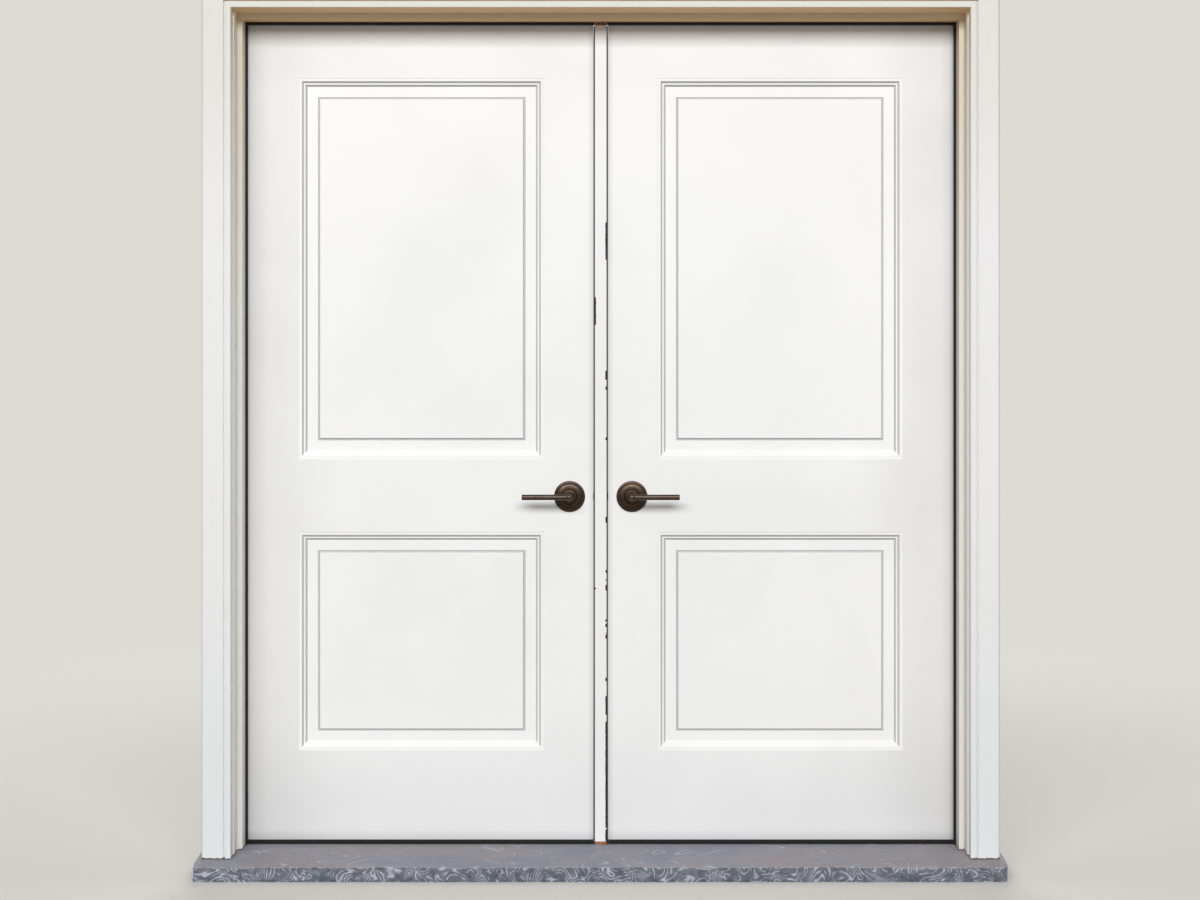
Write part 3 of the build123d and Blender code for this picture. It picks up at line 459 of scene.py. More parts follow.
@dataclass(frozen=True)
class FramePaint:
    """Brushed off-white paint with painted light and shade: cool low down, cream in the reveals, tan under
    the head.
    """

    # painted light and shade: darker and warmer towards the head, lighter in the reveals, cream on the head
    # stop's front, tan on faces looking down or into the doorway
    low: Rgb = (231, 234, 235)
    face: Rgb = (237, 237, 236)
    high: Rgb = (225, 223, 217)
    reveal: Rgb = (241, 240, 236)
    reveal_high: Rgb = (235, 229, 214)
    cream: Rgb = (252, 240, 210)
    under: Rgb = (238, 198, 146)
    side: Rgb = (206, 196, 184)
    side_high: Rgb = (190, 162, 126)
    stain: Rgb = (176, 160, 136)
    stain_share: float = 0.07
    # a painted highlight along the arrises
    worn_arris: Rgb = (250, 249, 246)
    worn_share: float = 0.6
    joint: Rgb = (106, 70, 44)
    joint_share: float = 0.95
    # heights between which one colour turns into the next, as painted light and shade
    low_to_face: Pair = (0.05, 1.0)
    face_to_high: Pair = (1.5, 2.2)
    reveal_to_high: Pair = (1.2, 2.1)
    side_to_high: Pair = (1.4, 2.16)
    reveal_to_cream: Pair = (2.125, 2.15)
    # depths behind the wall's face between which the reveal's painted light and shade come in
    face_to_reveal: Pair = (-26 * MM, 8 * MM)
    side_depths: Pair = (0, 50 * MM)
    # how strong the painted shade on the reveal's sides is on the left and on the right
    side_shares: Pair = (0.5, 1.5)
    middle: Pair = (-0.5, 0.5)
    # which way a face looks, for its painted light and shade: away from the back and top, into the doorway,
    # and down
    looks_out: Pair = (0.6, 0.1)
    looks_in: Pair = (-0.5, -0.95)
    looks_down: Pair = (-0.4, -0.9)
    side_share: float = 0.5
    arris_reach: float = 0.7 * MM
    ripple: float = 0.12 * MM
    brush: float = 0.03 * MM
    rough: float = 0.5
    rough_drift: float = 0.06
    # the sill's slope under the timber, and its height under the wall's face
    slope: float = (54 - 38) / (88 + 89)
    slope_base: float = 46.05 * MM
    joint_height: Pair = (2.6 * MM, 1.6 * MM)
    joint_ragged: float = 3.2 * MM

    def material(self) -> Material:
        """Makes the frame's paint.

        Returns:
            The material.
        """
        tree = ShaderTree("frame_paint")
        y, z = tree.axis("Y"), tree.axis("Z")
        depth = tree.span(y, *self.face_to_reveal)
        # painted shade by height: cool low down, darker and warmer towards the head
        colour = tree.mix(tree.span(z, *self.low_to_face), self.low, self.face)
        colour = tree.mix(tree.span(z, *self.face_to_high), colour, self.high)
        # painted light in the reveals, warmer higher up on faces that look out
        colour = tree.mix(depth, colour, self.reveal)
        looks = tree.total(tree.facing("Y"), tree.facing("Z"))
        outside = tree.product(depth, tree.span(looks, *self.looks_out))
        colour = tree.mix(tree.product(tree.span(z, *self.reveal_to_high), outside), colour, self.reveal_high)
        drift = tree.span(tree.cloud(0.25, detail=3, rough=0.6, share=(3, 3, 0.6)), 0.3, 0.7, 0.7, 1.0)
        # painted light: cream on the front of the head's stop, where shade falls
        creamy = tree.product(tree.span(z, *self.reveal_to_cream), outside, drift)
        colour = tree.mix(creamy, colour, self.cream)
        # painted shade: tan on faces that look into the doorway, stronger on the right, and on faces that
        # look down
        side = tree.mix(tree.span(z, *self.side_to_high), self.side, self.side_high)
        colour = tree.mix(self.inward(tree, y), colour, side)
        colour = tree.mix(tree.span(tree.facing("Z"), *self.looks_down), colour, self.under)
        stains = tree.cloud(30 * MM, detail=5, rough=0.65, share=(1, 1, 0.25))
        colour = tree.mix(tree.span(stains, 0.5, 0.8, 0, self.stain_share), colour, self.stain)
        # painted highlight along the arrises
        worn = tree.product(tree.edges(self.arris_reach, ragged=10 * MM), self.worn_share)
        colour = tree.mix(worn, colour, self.worn_arris)
        colour = tree.mix(self.foot(tree, y, z), colour, self.joint)
        tree.raise_by(tree.cloud(5 * MM, detail=2, rough=0.5, share=(1, 1, 0.03)), self.brush)
        tree.raise_by(tree.cloud(60 * MM, detail=2, rough=0.5), self.ripple)
        return tree.finish(colour, tree.varied(self.rough, self.rough_drift), shine=0.4)

    def inward(self, tree: ShaderTree, y: NodeSocket) -> NodeSocket:
        """Finds the share of painted shade on faces that look into the doorway.

        Args:
            tree: the material's nodes.
            y: the depth behind the wall's face.

        Returns:
            The share.
        """
        x = tree.axis("X")
        outward = tree.product(tree.facing("X"), tree.math("SIGN", x))
        return tree.product(tree.span(outward, *self.looks_in, 0, self.side_share),
                            tree.span(y, *self.side_depths, 0.3, 1),
                            tree.span(x, *self.middle, *self.side_shares))

    def foot(self, tree: ShaderTree, y: NodeSocket, z: NodeSocket) -> NodeSocket:
        """Finds the ragged brown line where the timber stands on the sloping stone.

        Args:
            tree: the material's nodes.
            y: the depth behind the wall's face.
            z: the height.

        Returns:
            The line's share.
        """
        level = tree.math("SUBTRACT", z, tree.product(y, self.slope))
        over = tree.math("SUBTRACT", level, self.slope_base)
        ragged = tree.span(tree.cloud(7 * MM, detail=4, rough=0.7), 0.35, 0.7, 0, self.joint_ragged)
        return tree.span(tree.math("SUBTRACT", over, ragged), *self.joint_height, 0, self.joint_share)


@dataclass(frozen=True)
class Bluestone:
    """Cleft blue-grey stone with soft mauve patches, darker and full of swirls on its split front, with
    painted highlights on its arrises.
    """

    blue: Rgb = (136, 140, 154)
    grey: Rgb = (151, 150, 159)
    mauve: Rgb = (153, 146, 150)
    fleck: Rgb = (114, 114, 124)
    broken: Rgb = (92, 97, 108)
    pale: Rgb = (128, 130, 139)
    ridge: Rgb = (186, 192, 206)
    # a painted highlight along the arrises, also used for light specks on the top
    arris: Rgb = (206, 208, 219)
    arris_share: float = 0.85
    arris_reach: float = 3.5 * MM
    # how far a face turns down from the top's colour to the front's
    top_to_front: Pair = (0.8, 0.35)
    rough: Pair = (0.6, 0.8)
    heave: float = 1.0 * MM
    ridge_height: float = 0.35 * MM
    grain_height: float = 0.10 * MM

    def material(self) -> Material:
        """Makes the sill's stone.

        Returns:
            The material.
        """
        tree = ShaderTree("blue_stone")
        grain = tree.cloud(2.5 * MM, detail=4, rough=0.7)
        scratch = tree.swirls(170 * MM, count=70, width=0.10, warp=0.9, share=(0.8, 1.6, 1))
        loops = tree.swirls(75 * MM, count=100, width=0.7, warp=1.1)
        colour = self.top(tree, grain, scratch)
        turned_down = tree.span(tree.facing("Z"), *self.top_to_front)
        colour = tree.mix(turned_down, colour, self.front(tree, loops))
        # painted highlight along the arrises
        worn = tree.product(tree.edges(self.arris_reach, ragged=12 * MM), self.arris_share)
        colour = tree.mix(worn, colour, self.arris)
        tree.raise_by(tree.cloud(50 * MM, detail=5, rough=0.6, warp=0.8), self.heave)
        tree.raise_by(tree.total(loops, scratch), self.ridge_height)
        tree.raise_by(grain, self.grain_height)
        return tree.finish(colour, tree.span(grain, 0.3, 0.7, *self.rough), shine=0.35)

    def top(self, tree: ShaderTree, grain: NodeSocket, scratch: NodeSocket) -> NodeSocket:
        """Makes the weather-beaten top's colour.

        Args:
            tree: the material's nodes.
            grain: the stone's fine grain.
            scratch: 1 on the curved light scratches.

        Returns:
            The colour.
        """
        bands = tree.cloud(160 * MM, detail=4, rough=0.6, share=(0.6, 1, 1), warp=0.6)
        colour = tree.mix(tree.span(bands, 0.35, 0.65), self.blue, self.grey)
        patches = tree.cloud(210 * MM, detail=3, rough=0.55, share=(0.7, 1.4, 1), warp=0.8)
        colour = tree.mix(tree.span(patches, 0.42, 0.7), colour, self.mauve)
        colour = tree.mix(tree.span(grain, 0.35, 0.75, 0, 0.25), colour, self.fleck)
        kept = tree.span(tree.cloud(60 * MM, detail=2), 0.44, 0.6, 0, 0.6)
        colour = tree.mix(tree.product(scratch, kept), colour, self.ridge)
        specks = tree.span(tree.cloud(6 * MM, detail=1, rough=0.5), 0.72, 0.78, 0, 0.6)
        return tree.mix(specks, colour, self.arris)

    def front(self, tree: ShaderTree, loops: NodeSocket) -> NodeSocket:
        """Makes the split front's colour, with nested light ridges.

        Args:
            tree: the material's nodes.
            loops: 1 on the ridges.

        Returns:
            The colour.
        """
        blotches = tree.cloud(30 * MM, detail=4, rough=0.65)
        colour = tree.mix(tree.span(blotches, 0.35, 0.7), self.broken, self.pale)
        kept = tree.span(tree.cloud(30 * MM, detail=3, rough=0.6), 0.36, 0.56, 0, 0.95)
        return tree.mix(tree.product(loops, kept), colour, self.ridge)


@dataclass(frozen=True)
class Bronze:
    """Dark oil-rubbed bronze, rubbed coppery on its edges."""

    name: str
    body: Rgb = (61, 43, 29)
    dull: Rgb = (45, 32, 21)
    rubbed: Rgb = (92, 70, 54)
    rough: float = 0.36
    rough_drift: Pair = (-0.03, 0.06)
    edge_reach: float = 0.9 * MM
    wear: float = 0.22
    lacquer: float = 0.35
    lacquer_rough: float = 0.26
    mottle_size: float = 16 * MM
    pitting: float = 0.003 * MM

    def material(self) -> Material:
        """Makes the bronze of the lock set or the hinges.

        Returns:
            The material.
        """
        tree = ShaderTree(self.name)
        mottle = tree.cloud(self.mottle_size, detail=3, rough=0.5)
        colour = tree.mix(tree.span(mottle, 0.3, 0.7), self.body, self.dull)
        worn = tree.product(tree.edges(self.edge_reach, ragged=4 * MM), self.wear)
        colour = tree.mix(worn, colour, self.rubbed)
        tree.raise_by(tree.cloud(1.1 * MM, detail=3, rough=0.6), self.pitting)
        smoothest, roughest = [self.rough + drift for drift in self.rough_drift]
        rough = tree.span(mottle, 0.3, 0.7, smoothest, roughest)
        tree.shader.inputs["Coat Weight"].default_value = self.lacquer
        tree.shader.inputs["Coat Roughness"].default_value = self.lacquer_rough
        return tree.finish(colour, rough, metal=1.0)


@dataclass(frozen=True)
class PlatedSteel:
    """Bright zinc-plated steel with fine brushing."""

    colour: Rgb = (176, 178, 180)
    dull: Rgb = (146, 146, 144)
    rough: float = 0.32
    rough_drift: float = 0.07
    brush: float = 0.01 * MM

    def material(self) -> Material:
        """Makes the latch's and the strike plates' metal.

        Returns:
            The material.
        """
        tree = ShaderTree("plated_steel")
        lines = tree.cloud(0.6 * MM, detail=2, rough=0.6, share=(1, 1, 0.04))
        colour = tree.mix(tree.span(tree.cloud(8 * MM), 0.4, 0.7, 0, 0.4), self.colour, self.dull)
        tree.raise_by(lines, self.brush)
        rough = tree.span(lines, 0.3, 0.7, self.rough - self.rough_drift, self.rough + self.rough_drift)
        return tree.finish(colour, rough, metal=1.0)


@dataclass(frozen=True)
class ThresholdMetal:
    """Dark anodised threshold, scuffed along its top."""

    colour: Rgb = (34, 32, 31)
    scuff: Rgb = (70, 67, 64)
    rough: Pair = (0.4, 0.55)
    brush: float = 0.015 * MM

    def material(self) -> Material:
        """Makes the threshold's metal.

        Returns:
            The material.
        """
        tree = ShaderTree("dark_threshold")
        lines = tree.cloud(1.2 * MM, detail=3, rough=0.6, share=(0.03, 1, 1))
        marks = tree.cloud(40 * MM, detail=5, rough=0.7, share=(0.3, 1, 1))
        colour = tree.mix(tree.span(marks, 0.52, 0.75, 0, 0.5), self.colour, self.scuff)
        tree.raise_by(lines, self.brush)
        return tree.finish(colour, tree.span(lines, 0.3, 0.7, *self.rough), metal=0.8)


@dataclass(frozen=True)
class BlackRubber:
    """Soft black seal rubber with a dusty bloom."""

    colour: Rgb = (24, 24, 25)
    bloom: Rgb = (52, 51, 50)
    bloom_share: float = 0.45
    rough: Pair = (0.6, 0.85)
    pores: float = 0.03 * MM

    def material(self) -> Material:
        """Makes the seals' and sweeps' rubber.

        Returns:
            The material.
        """
        tree = ShaderTree("black_seal")
        dust = tree.span(tree.cloud(12 * MM, detail=5, rough=0.7), 0.5, 0.8, 0, self.bloom_share)
        tree.raise_by(tree.cloud(0.8 * MM, detail=2), self.pores)
        rough = tree.span(dust, 0, self.bloom_share, *self.rough)
        return tree.finish(tree.mix(dust, self.colour, self.bloom), rough, shine=0.3)


@dataclass(frozen=True)
class BareTimber:
    """Unpainted softwood with its grain upright."""

    name: str
    light: Rgb = (168, 124, 84)
    dark: Rgb = (118, 80, 52)
    run: Point = (1, 1, 0.04)
    bands: float = 40.0
    rough: float = 0.72
    fibre: float = 0.05 * MM

    def material(self) -> Material:
        """Makes the timber.

        Returns:
            The material.
        """
        tree = ShaderTree(self.name)
        rings = tree.cloud(7 * MM, detail=2, rough=0.5, share=self.run, warp=0.6)
        bands = tree.math("SINE", tree.product(rings, self.bands))
        colour = tree.mix(tree.span(bands, -1, 1), self.light, self.dark)
        fibres = tree.cloud(0.9 * MM, detail=3, rough=0.6, share=self.run)
        colour = tree.mix(tree.span(fibres, 0.45, 0.75, 0, 0.5), colour, self.dark)
        tree.raise_by(fibres, self.fibre)
        return tree.finish(colour, self.rough, shine=0.25)


@dataclass(frozen=True)
class EdgePaint:
    """The leaves' paint over timber edges, where the wood's grain shows a little."""

    colour: Rgb = (238, 238, 236)
    grain: Rgb = (222, 221, 217)
    rough: float = 0.45
    grain_height: float = 0.05 * MM

    def material(self) -> Material:
        """Makes the paint on the edges of the leaves' timber.

        Returns:
            The material.
        """
        tree = ShaderTree("door_edge_paint")
        grain = tree.cloud(1.6 * MM, detail=3, rough=0.6, share=(1, 1, 0.03))
        tree.raise_by(grain, self.grain_height)
        return tree.finish(tree.mix(tree.span(grain, 0.4, 0.8, 0, 0.35), self.colour, self.grain), self.rough)


@dataclass(frozen=True)
class RigidFoam:
    """Pale yellow insulation inside the leaves."""

    colour: Rgb = (226, 207, 150)
    cell: Rgb = (205, 182, 122)
    rough: float = 0.9
    cell_height: float = 0.2 * MM

    def material(self) -> Material:
        """Makes the foam.

        Returns:
            The material.
        """
        tree = ShaderTree("rigid_foam")
        cells = tree.cloud(1.4 * MM, detail=2, rough=0.5)
        tree.raise_by(cells, self.cell_height)
        colour = tree.mix(tree.span(cells, 0.4, 0.7), self.colour, self.cell)
        return tree.finish(colour, self.rough, shine=0.2)


@dataclass
class Finishes:
    """Every finish in the doorway, made once and shared."""

    leaf: list[Material] = field(init=False)
    post: Material = field(init=False)
    leaf_edge: Material = field(init=False)
    frame: Material = field(init=False)
    stone: Material = field(init=False)
    bronze: Material = field(init=False)
    lever: Material = field(init=False)
    hinge: Material = field(init=False)
    steel: Material = field(init=False)
    threshold: Material = field(init=False)
    rubber: Material = field(init=False)
    timber: Material = field(init=False)
    weathered: Material = field(init=False)
    foam: Material = field(init=False)

    def __post_init__(self) -> None:
        """Makes the materials."""
        self.leaf = [LeafPaint("door_paint").material(),
                     # the moulding's copy is a touch lighter: a painted highlight against the shade in its
                     # recess
                     LeafPaint("door_paint_moulding", colour=(247, 247, 247), soiled=False).material(),
                     # the hollows' copy is darker: painted shade on the moulding's slopes and groove
                     LeafPaint("door_paint_hollow", colour=(205, 205, 206), soiled=False).material(),
                     LeafPaint("door_paint_field", colour=(246, 246, 246), soiled=False).material()]
        self.post = LeafPaint("post_paint", colour=(243, 243, 243), soiled=False).material()
        self.leaf_edge = EdgePaint().material()
        self.frame = FramePaint().material()
        self.stone = Bluestone().material()
        self.bronze = Bronze("dark_bronze").material()
        # the levers take a lighter copy of the roses' bronze
        self.lever = Bronze("handled_bronze", body=(76, 61, 50), dull=(62, 49, 40), rough=0.32).material()
        self.hinge = Bronze("hinge_bronze", body=(84, 66, 54), dull=(62, 50, 42), rough=0.4).material()
        self.steel = PlatedSteel().material()
        self.threshold = ThresholdMetal().material()
        self.rubber = BlackRubber().material()
        self.timber = BareTimber("bare_timber").material()
        # dark timber for the post's chipped arrises, and for its sides as painted shade in the gaps
        self.weathered = BareTimber("weathered_timber", light=(86, 62, 48), dark=(46, 33, 26)).material()
        self.foam = RigidFoam().material()


# Meshes

class Shell:
    """The points and faces of one closed surface, gathered before they become a piece."""

    def __init__(self) -> None:
        """Starts an empty shell."""
        self.points: list[Point] = []
        self.faces: list[list[int]] = []
        self.marks: list[int] = []

    def ring(self, points: Sequence[Point]) -> list[int]:
        """Adds a row of points.

        Args:
            points: the points.

        Returns:
            Their numbers in the shell.
        """
        start = len(self.points)
        self.points.extend(tuple(p) for p in points)
        return list(range(start, len(self.points)))

    def face(self, numbers: Sequence[int], mark: int = 0) -> None:
        """Adds a face, with the number of its material."""
        self.faces.append(list(numbers))
        self.marks.append(mark)

    def bridge(self, first: Sequence[int], second: Sequence[int], closed: bool = True,
               mark: Callable[[int], int] = lambda _: 0) -> None:
        """Joins two rows of as many points by a strip of faces.

        Args:
            first: one row's numbers.
            second: the other row's numbers.
            closed: whether the rows are rings.
            mark: gives the material's number from the face's number in the strip.
        """
        count = len(first)
        for number in range(count if closed else count - 1):
            after = (number + 1) % count
            self.face((first[number], first[after], second[after], second[number]), mark(number))

    def mesh(self, name: str, side: Side = Side.RIGHT) -> Mesh:
        """Makes the mesh, mirrored for the left side, with its faces turned outward.

        Args:
            name: the mesh's name.
            side: the side of the doorway that it is for.

        Returns:
            The mesh.
        """
        made = bpy.data.meshes.new(name)
        made.from_pydata([(x * side.value, y, z) for x, y, z in self.points], [], self.faces)
        made.polygons.foreach_set("material_index", self.marks)
        work = bmesh.new()
        work.from_mesh(made)
        bmesh.ops.remove_doubles(work, verts=work.verts, dist=SAME_POINT)
        bmesh.ops.recalc_face_normals(work, faces=work.faces)
        work.to_mesh(made)
        work.free()
        return made


def turned(outline: Sequence[Pair], steps: int, place: Callable[[float, float, float], Point]) -> Shell:
    """Turns an open outline about an axis into a closed shell.

    Args:
        outline: radius against height, from one pole to the other, or round a bore.
        steps: the number of facets round the axis.
        place: gives the point for two coordinates across the axis and the height along it.

    Returns:
        The shell, closed at the poles where the radius is 0, or joined end to end.
    """
    shell = Shell()
    rings = []
    for radius, height in outline:
        count = steps if radius > 0 else 1
        angles = [math.tau * number / steps for number in range(count)]
        rings.append(shell.ring([place(radius * math.cos(a), radius * math.sin(a), height) for a in angles]))
    if outline[0][0] > 0:
        rings.append(rings[0])
    for first, second in zip(rings, rings[1:]):
        if len(first) == 1 or len(second) == 1:
            pole, ring = (first, second) if len(first) == 1 else (second, first)
            for number in range(steps):
                shell.face((pole[0], ring[number], ring[(number + 1) % steps]))
        else:
            shell.bridge(first, second)
    return shell


def box_shell(low: Point, high: Point) -> Shell:
    """Builds a plain block, used only to cut other meshes.

    Args:
        low: its lowest corner.
        high: its highest corner.

    Returns:
        The block.
    """
    shell = Shell()
    plan = ((low[0], low[1]), (high[0], low[1]), (high[0], high[1]), (low[0], high[1]))
    rings = [shell.ring([(x, y, z) for x, y in plan]) for z in (low[2], high[2])]
    shell.bridge(*rings)
    for ring in rings:
        shell.face(ring)
    return shell


class Operation(Enum):
    """What a boolean does with the other meshes."""

    CUT = "DIFFERENCE"
    JOIN = "UNION"


def combined(first: Mesh, others: Sequence[Mesh], operation: Operation) -> Mesh:
    """Cuts meshes from a mesh, or joins them to it, with exact booleans.

    Args:
        first: the mesh to change.
        others: the meshes to cut or join.
        operation: what is done with them.

    Returns:
        A new mesh with the result.
    """
    scene = bpy.context.scene.collection
    base = bpy.data.objects.new("boolean_base", first)
    scene.objects.link(base)
    tools = []
    for other in others:
        tool = bpy.data.objects.new("boolean_tool", other)
        scene.objects.link(tool)
        tools.append(tool)
        cut = base.modifiers.new("cut", "BOOLEAN")
        cut.operation = operation.value
        cut.solver = "EXACT"
        cut.object = tool
    evaluated = base.evaluated_get(bpy.context.evaluated_depsgraph_get())
    result = bpy.data.meshes.new_from_object(evaluated)
    for item in (base, *tools):
        bpy.data.objects.remove(item)
    return result


def make_piece(name: str, mesh: Mesh, body: str, materials: Sequence[Material],
               replaced: Sequence[str]) -> Object:
    """Makes a finished piece that stands for CAD nodes and rides on their body.

    Args:
        name: the piece's name.
        mesh: its mesh, in the row frame.
        body: the body that it rides on.
        materials: its materials, in the order of their numbers.
        replaced: the nodes that it stands for.

    Returns:
        The piece.
    """
    piece = bpy.data.objects.new(name, mesh)
    mesh.name = name
    marks = [face.material_index for face in mesh.polygons]
    mesh.materials.clear()
    for material in materials:
        mesh.materials.append(material)
    mesh.polygons.foreach_set("material_index", marks)
    bpy.context.scene.collection.objects.link(piece)
    mesh.shade_smooth()
    mesh.set_sharp_from_angle(angle=SMOOTH_ANGLE)
    weigh_normals(piece)
    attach(piece, body)
    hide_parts(*replaced)
    LOG.info("%s: %d faces", name, len(mesh.polygons))
    return piece


def weigh_normals(piece: Object) -> None:
    """Keeps large flat faces flat to the light beside their rounded edges."""
    normals = piece.modifiers.new("normals", "WEIGHTED_NORMAL")
    normals.keep_sharp = True


@dataclass
class CadDresser:
    """Gives the nodes that are carried over their finishes and softened edges."""

    nodes: dict[str, Object]
    weld: float = 0.002 * MM
    round_steps: int = 2
    sharp_angle: float = math.radians(35)

    def dress(self, material: Material, names: Sequence[str], edge: float = 0.0) -> None:
        """Finishes some nodes.

        Args:
            material: their finish.
            names: the nodes.
            edge: the width of the round on their edges, or 0 for none.
        """
        for name in names:
            piece = self.nodes[name]
            for holder in piece.material_slots:
                holder.material = material
            if not piece.material_slots:
                piece.data.materials.append(material)
            if edge:
                self.soften(piece, edge)
            LOG.info("%s: finished as %s", name, material.name)

    def soften(self, piece: Object, edge: float) -> None:
        """Rounds a node's sharp edges with modifiers, leaving its own mesh alone.

        Args:
            piece: the node's object.
            edge: the width of the round.
        """
        weld = piece.modifiers.new("weld", "WELD")
        weld.merge_threshold = self.weld
        bevel = piece.modifiers.new("round", "BEVEL")
        bevel.width = edge
        bevel.segments = self.round_steps
        bevel.limit_method = "ANGLE"
        bevel.angle_limit = self.sharp_angle
        bevel.miter_outer = "MITER_ARC"
        weigh_normals(piece)


# Sub-assemblies

@dataclass
class StoneSill:
    """The bluestone slab: a cleft, weather-beaten top and a split front with a ragged arris."""

    pitch: float = 5 * MM
    # the grid's first lines behind the front, in millimetres
    nose_steps: tuple[float, ...] = (1.2, 2.5, 4.0, 5.8, 8.0, 10.5, 13.5, 17.0)
    wall_levels: int = 15
    left_round: float = 6 * MM
    right_round: float = 17 * MM
    slope_end: float = 88 * MM
    front_height: float = 38 * MM
    rebate_front: float = 95.8 * MM
    rebate_back: float = 150.2 * MM
    rebate_floor: float = 42 * MM
    rebate_play: float = 0.2 * MM
    rebate_edge: float = 0.05 * MM
    rebate_reach: float = field(init=False)
    # the cleft top's relief in millimetres
    ledges: Pattern = Pattern((5, 11, 0), (0, 0, 3.1), 0.9, 2.1, 4)
    ledge_rises: tuple[Pair, ...] = ((-0.05, 0.02), (0.22, 0.28))
    ledge_height: float = 0.35
    grain: Pattern = Pattern((34, 34, 0), (0, 0, 7.7), 0.8, 2.2, 3)
    grain_height: float = 0.22
    sunk: float = 0.62
    calm: Pair = (-24 * MM, -44 * MM)
    calm_share: float = 0.25
    # the split front
    split_depth: float = 5.5 * MM
    waves: Pattern = Pattern((9, 9, 16), (0, 0, 0), 0.8, 2.2, 4)
    ridges: Pattern = Pattern((26, 26, 40), (0, 0, 5), 0.9, 2.1, 4)
    # distances behind the front between which the break and the foot's wear die away
    split_reach: Pair = (30 * MM, 12 * MM)
    foot_reach: Pair = (30 * MM, 10 * MM)
    foot_height: float = 5 * MM
    foot_chip: float = 1.5 * MM
    end_reach: float = 25 * MM
    end_chip: float = 1.2 * MM
    end_waves: Pattern = Pattern((0, 40, 50), (1.3, 0, 0))
    # the arris between top and front
    small_nicks: Pattern = Pattern((38, 0, 0), (0, 1.7, 0.3))
    fine_nicks: Pattern = Pattern((95, 0, 0), (0, 4.1, 0.9))
    bites: Pattern = Pattern((7.5, 0, 0), (0, 8.3, 2.2))
    nick_share: float = 0.35
    bite_share: float = 0.75
    arris_chip: float = 5.5 * MM
    arris_chip_reach: float = 9 * MM
    arris_round: float = 0.9 * MM
    arris_round_reach: float = 3 * MM
    # how far in from the front and the ends the top follows the break
    front_follow: float = 22 * MM
    end_follow: float = 14 * MM
    # depths between which the arris's wear comes in, and distances from the back for the ends' wear
    outdoors: Pair = (10 * MM, -10 * MM)
    back_plain: Pair = (20 * MM, 40 * MM)

    def __post_init__(self) -> None:
        """Reads the slab's box and the threshold's reach from the frame."""
        self.low, self.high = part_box("stone_sill")
        self.rebate_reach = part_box("threshold")[1].x + self.rebate_play

    def lines(self, low: float, high: float, kept: Sequence[float], pitch: float) -> list[float]:
        """Grid lines across a span at about one pitch, with some kept at exact places.

        Args:
            low: the span's start.
            high: its end.
            kept: places that have a line of their own.
            pitch: the rough distance between lines.

        Returns:
            The lines' places in order.
        """
        count = round((high - low) / pitch)
        apart = 0.45 * pitch
        even = [low + (high - low) * number / count for number in range(count + 1)]
        clear = [v for v in even[1:-1] if all(abs(v - k) > apart for k in kept)]
        return sorted([low, high, *clear, *kept])

    def top(self, x: float, y: float) -> float:
        """Finds the height of the plain slab's top.

        Args:
            x: the place across the opening.
            y: the place into the building.

        Returns:
            The height.
        """
        reach = self.rebate_reach - self.rebate_edge / 2
        inside = self.rebate_front < y < self.rebate_back and abs(x) < reach
        if inside:
            return self.rebate_floor
        share = min(1.0, (y - self.low.y) / (self.slope_end - self.low.y))
        return self.front_height + (self.high.z - self.front_height) * share

    def cleft(self, x: float, y: float) -> float:
        """Finds the relief of the cleft top: low steps and gentle waves, calm under the frame.

        Args:
            x: the place across the opening.
            y: the place into the building.

        Returns:
            How far the top stands above the plain slab there.
        """
        steps = self.ledges.at(x, y, 0)
        ledge = sum(eased(steps, *rise) for rise in self.ledge_rises)
        height = (self.ledge_height * ledge + self.grain_height * self.grain.at(x, y, 0) - self.sunk) * MM
        if y >= self.slope_end:
            return height * self.calm_share
        return height * (self.calm_share + (1 - self.calm_share) * eased(y, *self.calm))

    def split(self, x: float, y: float, z: float) -> float:
        """Finds how far the split face lies behind the plain slab's front.

        Args:
            x: the place across the opening.
            y: the place into the building.
            z: the height.

        Returns:
            The depth.
        """
        level, wave_share, ridge_share, ridge_level = 0.45, 0.5, 0.22, 1.2
        offset, gain = 1.0, 1.6
        ridges = noise.ridged_multi_fractal(self.ridges.place(x, y, z), self.ridges.smooth, self.ridges.step,
                                            self.ridges.layers, offset, gain)
        depth = level + wave_share * self.waves.at(x, y, z) - ridge_share * (ridges - ridge_level)
        return self.split_depth * min(1.0, max(0.0, depth))

    def chip(self, x: float) -> float:
        """Finds how much of the arris is knocked off.

        Args:
            x: the place along the arris.

        Returns:
            The share that is gone: 0 for none, and about 1 at the deepest bites.
        """
        small = self.small_nicks.at(x, 0, 0) + 0.5 * self.fine_nicks.at(x, 0, 0)
        large = self.bites.at(x, 0, 0) + 0.3 * small
        return self.nick_share * eased(small, 0.05, 0.75) + self.bite_share * eased(large, 0.28, 0.6)

    def rounded(self, x: float, y: float) -> Pair:
        """Moves a grid point near a front corner onto the slab's rounded plan.

        Args:
            x: the point's place across the opening.
            y: its place into the building.

        Returns:
            The moved place.
        """
        radius = self.right_round if x > 0 else self.left_round
        centre_x = math.copysign(self.high.x - radius, x)
        centre_y = self.low.y + radius
        across = (x - centre_x) / radius * math.copysign(1, x)
        along = (centre_y - y) / radius
        if across <= 0 or along <= 0:
            return x, y
        bent_across = across * math.sqrt(1 - along * along / 2)
        bent_along = along * math.sqrt(1 - across * across / 2)
        return centre_x + math.copysign(bent_across * radius, x), centre_y - bent_along * radius

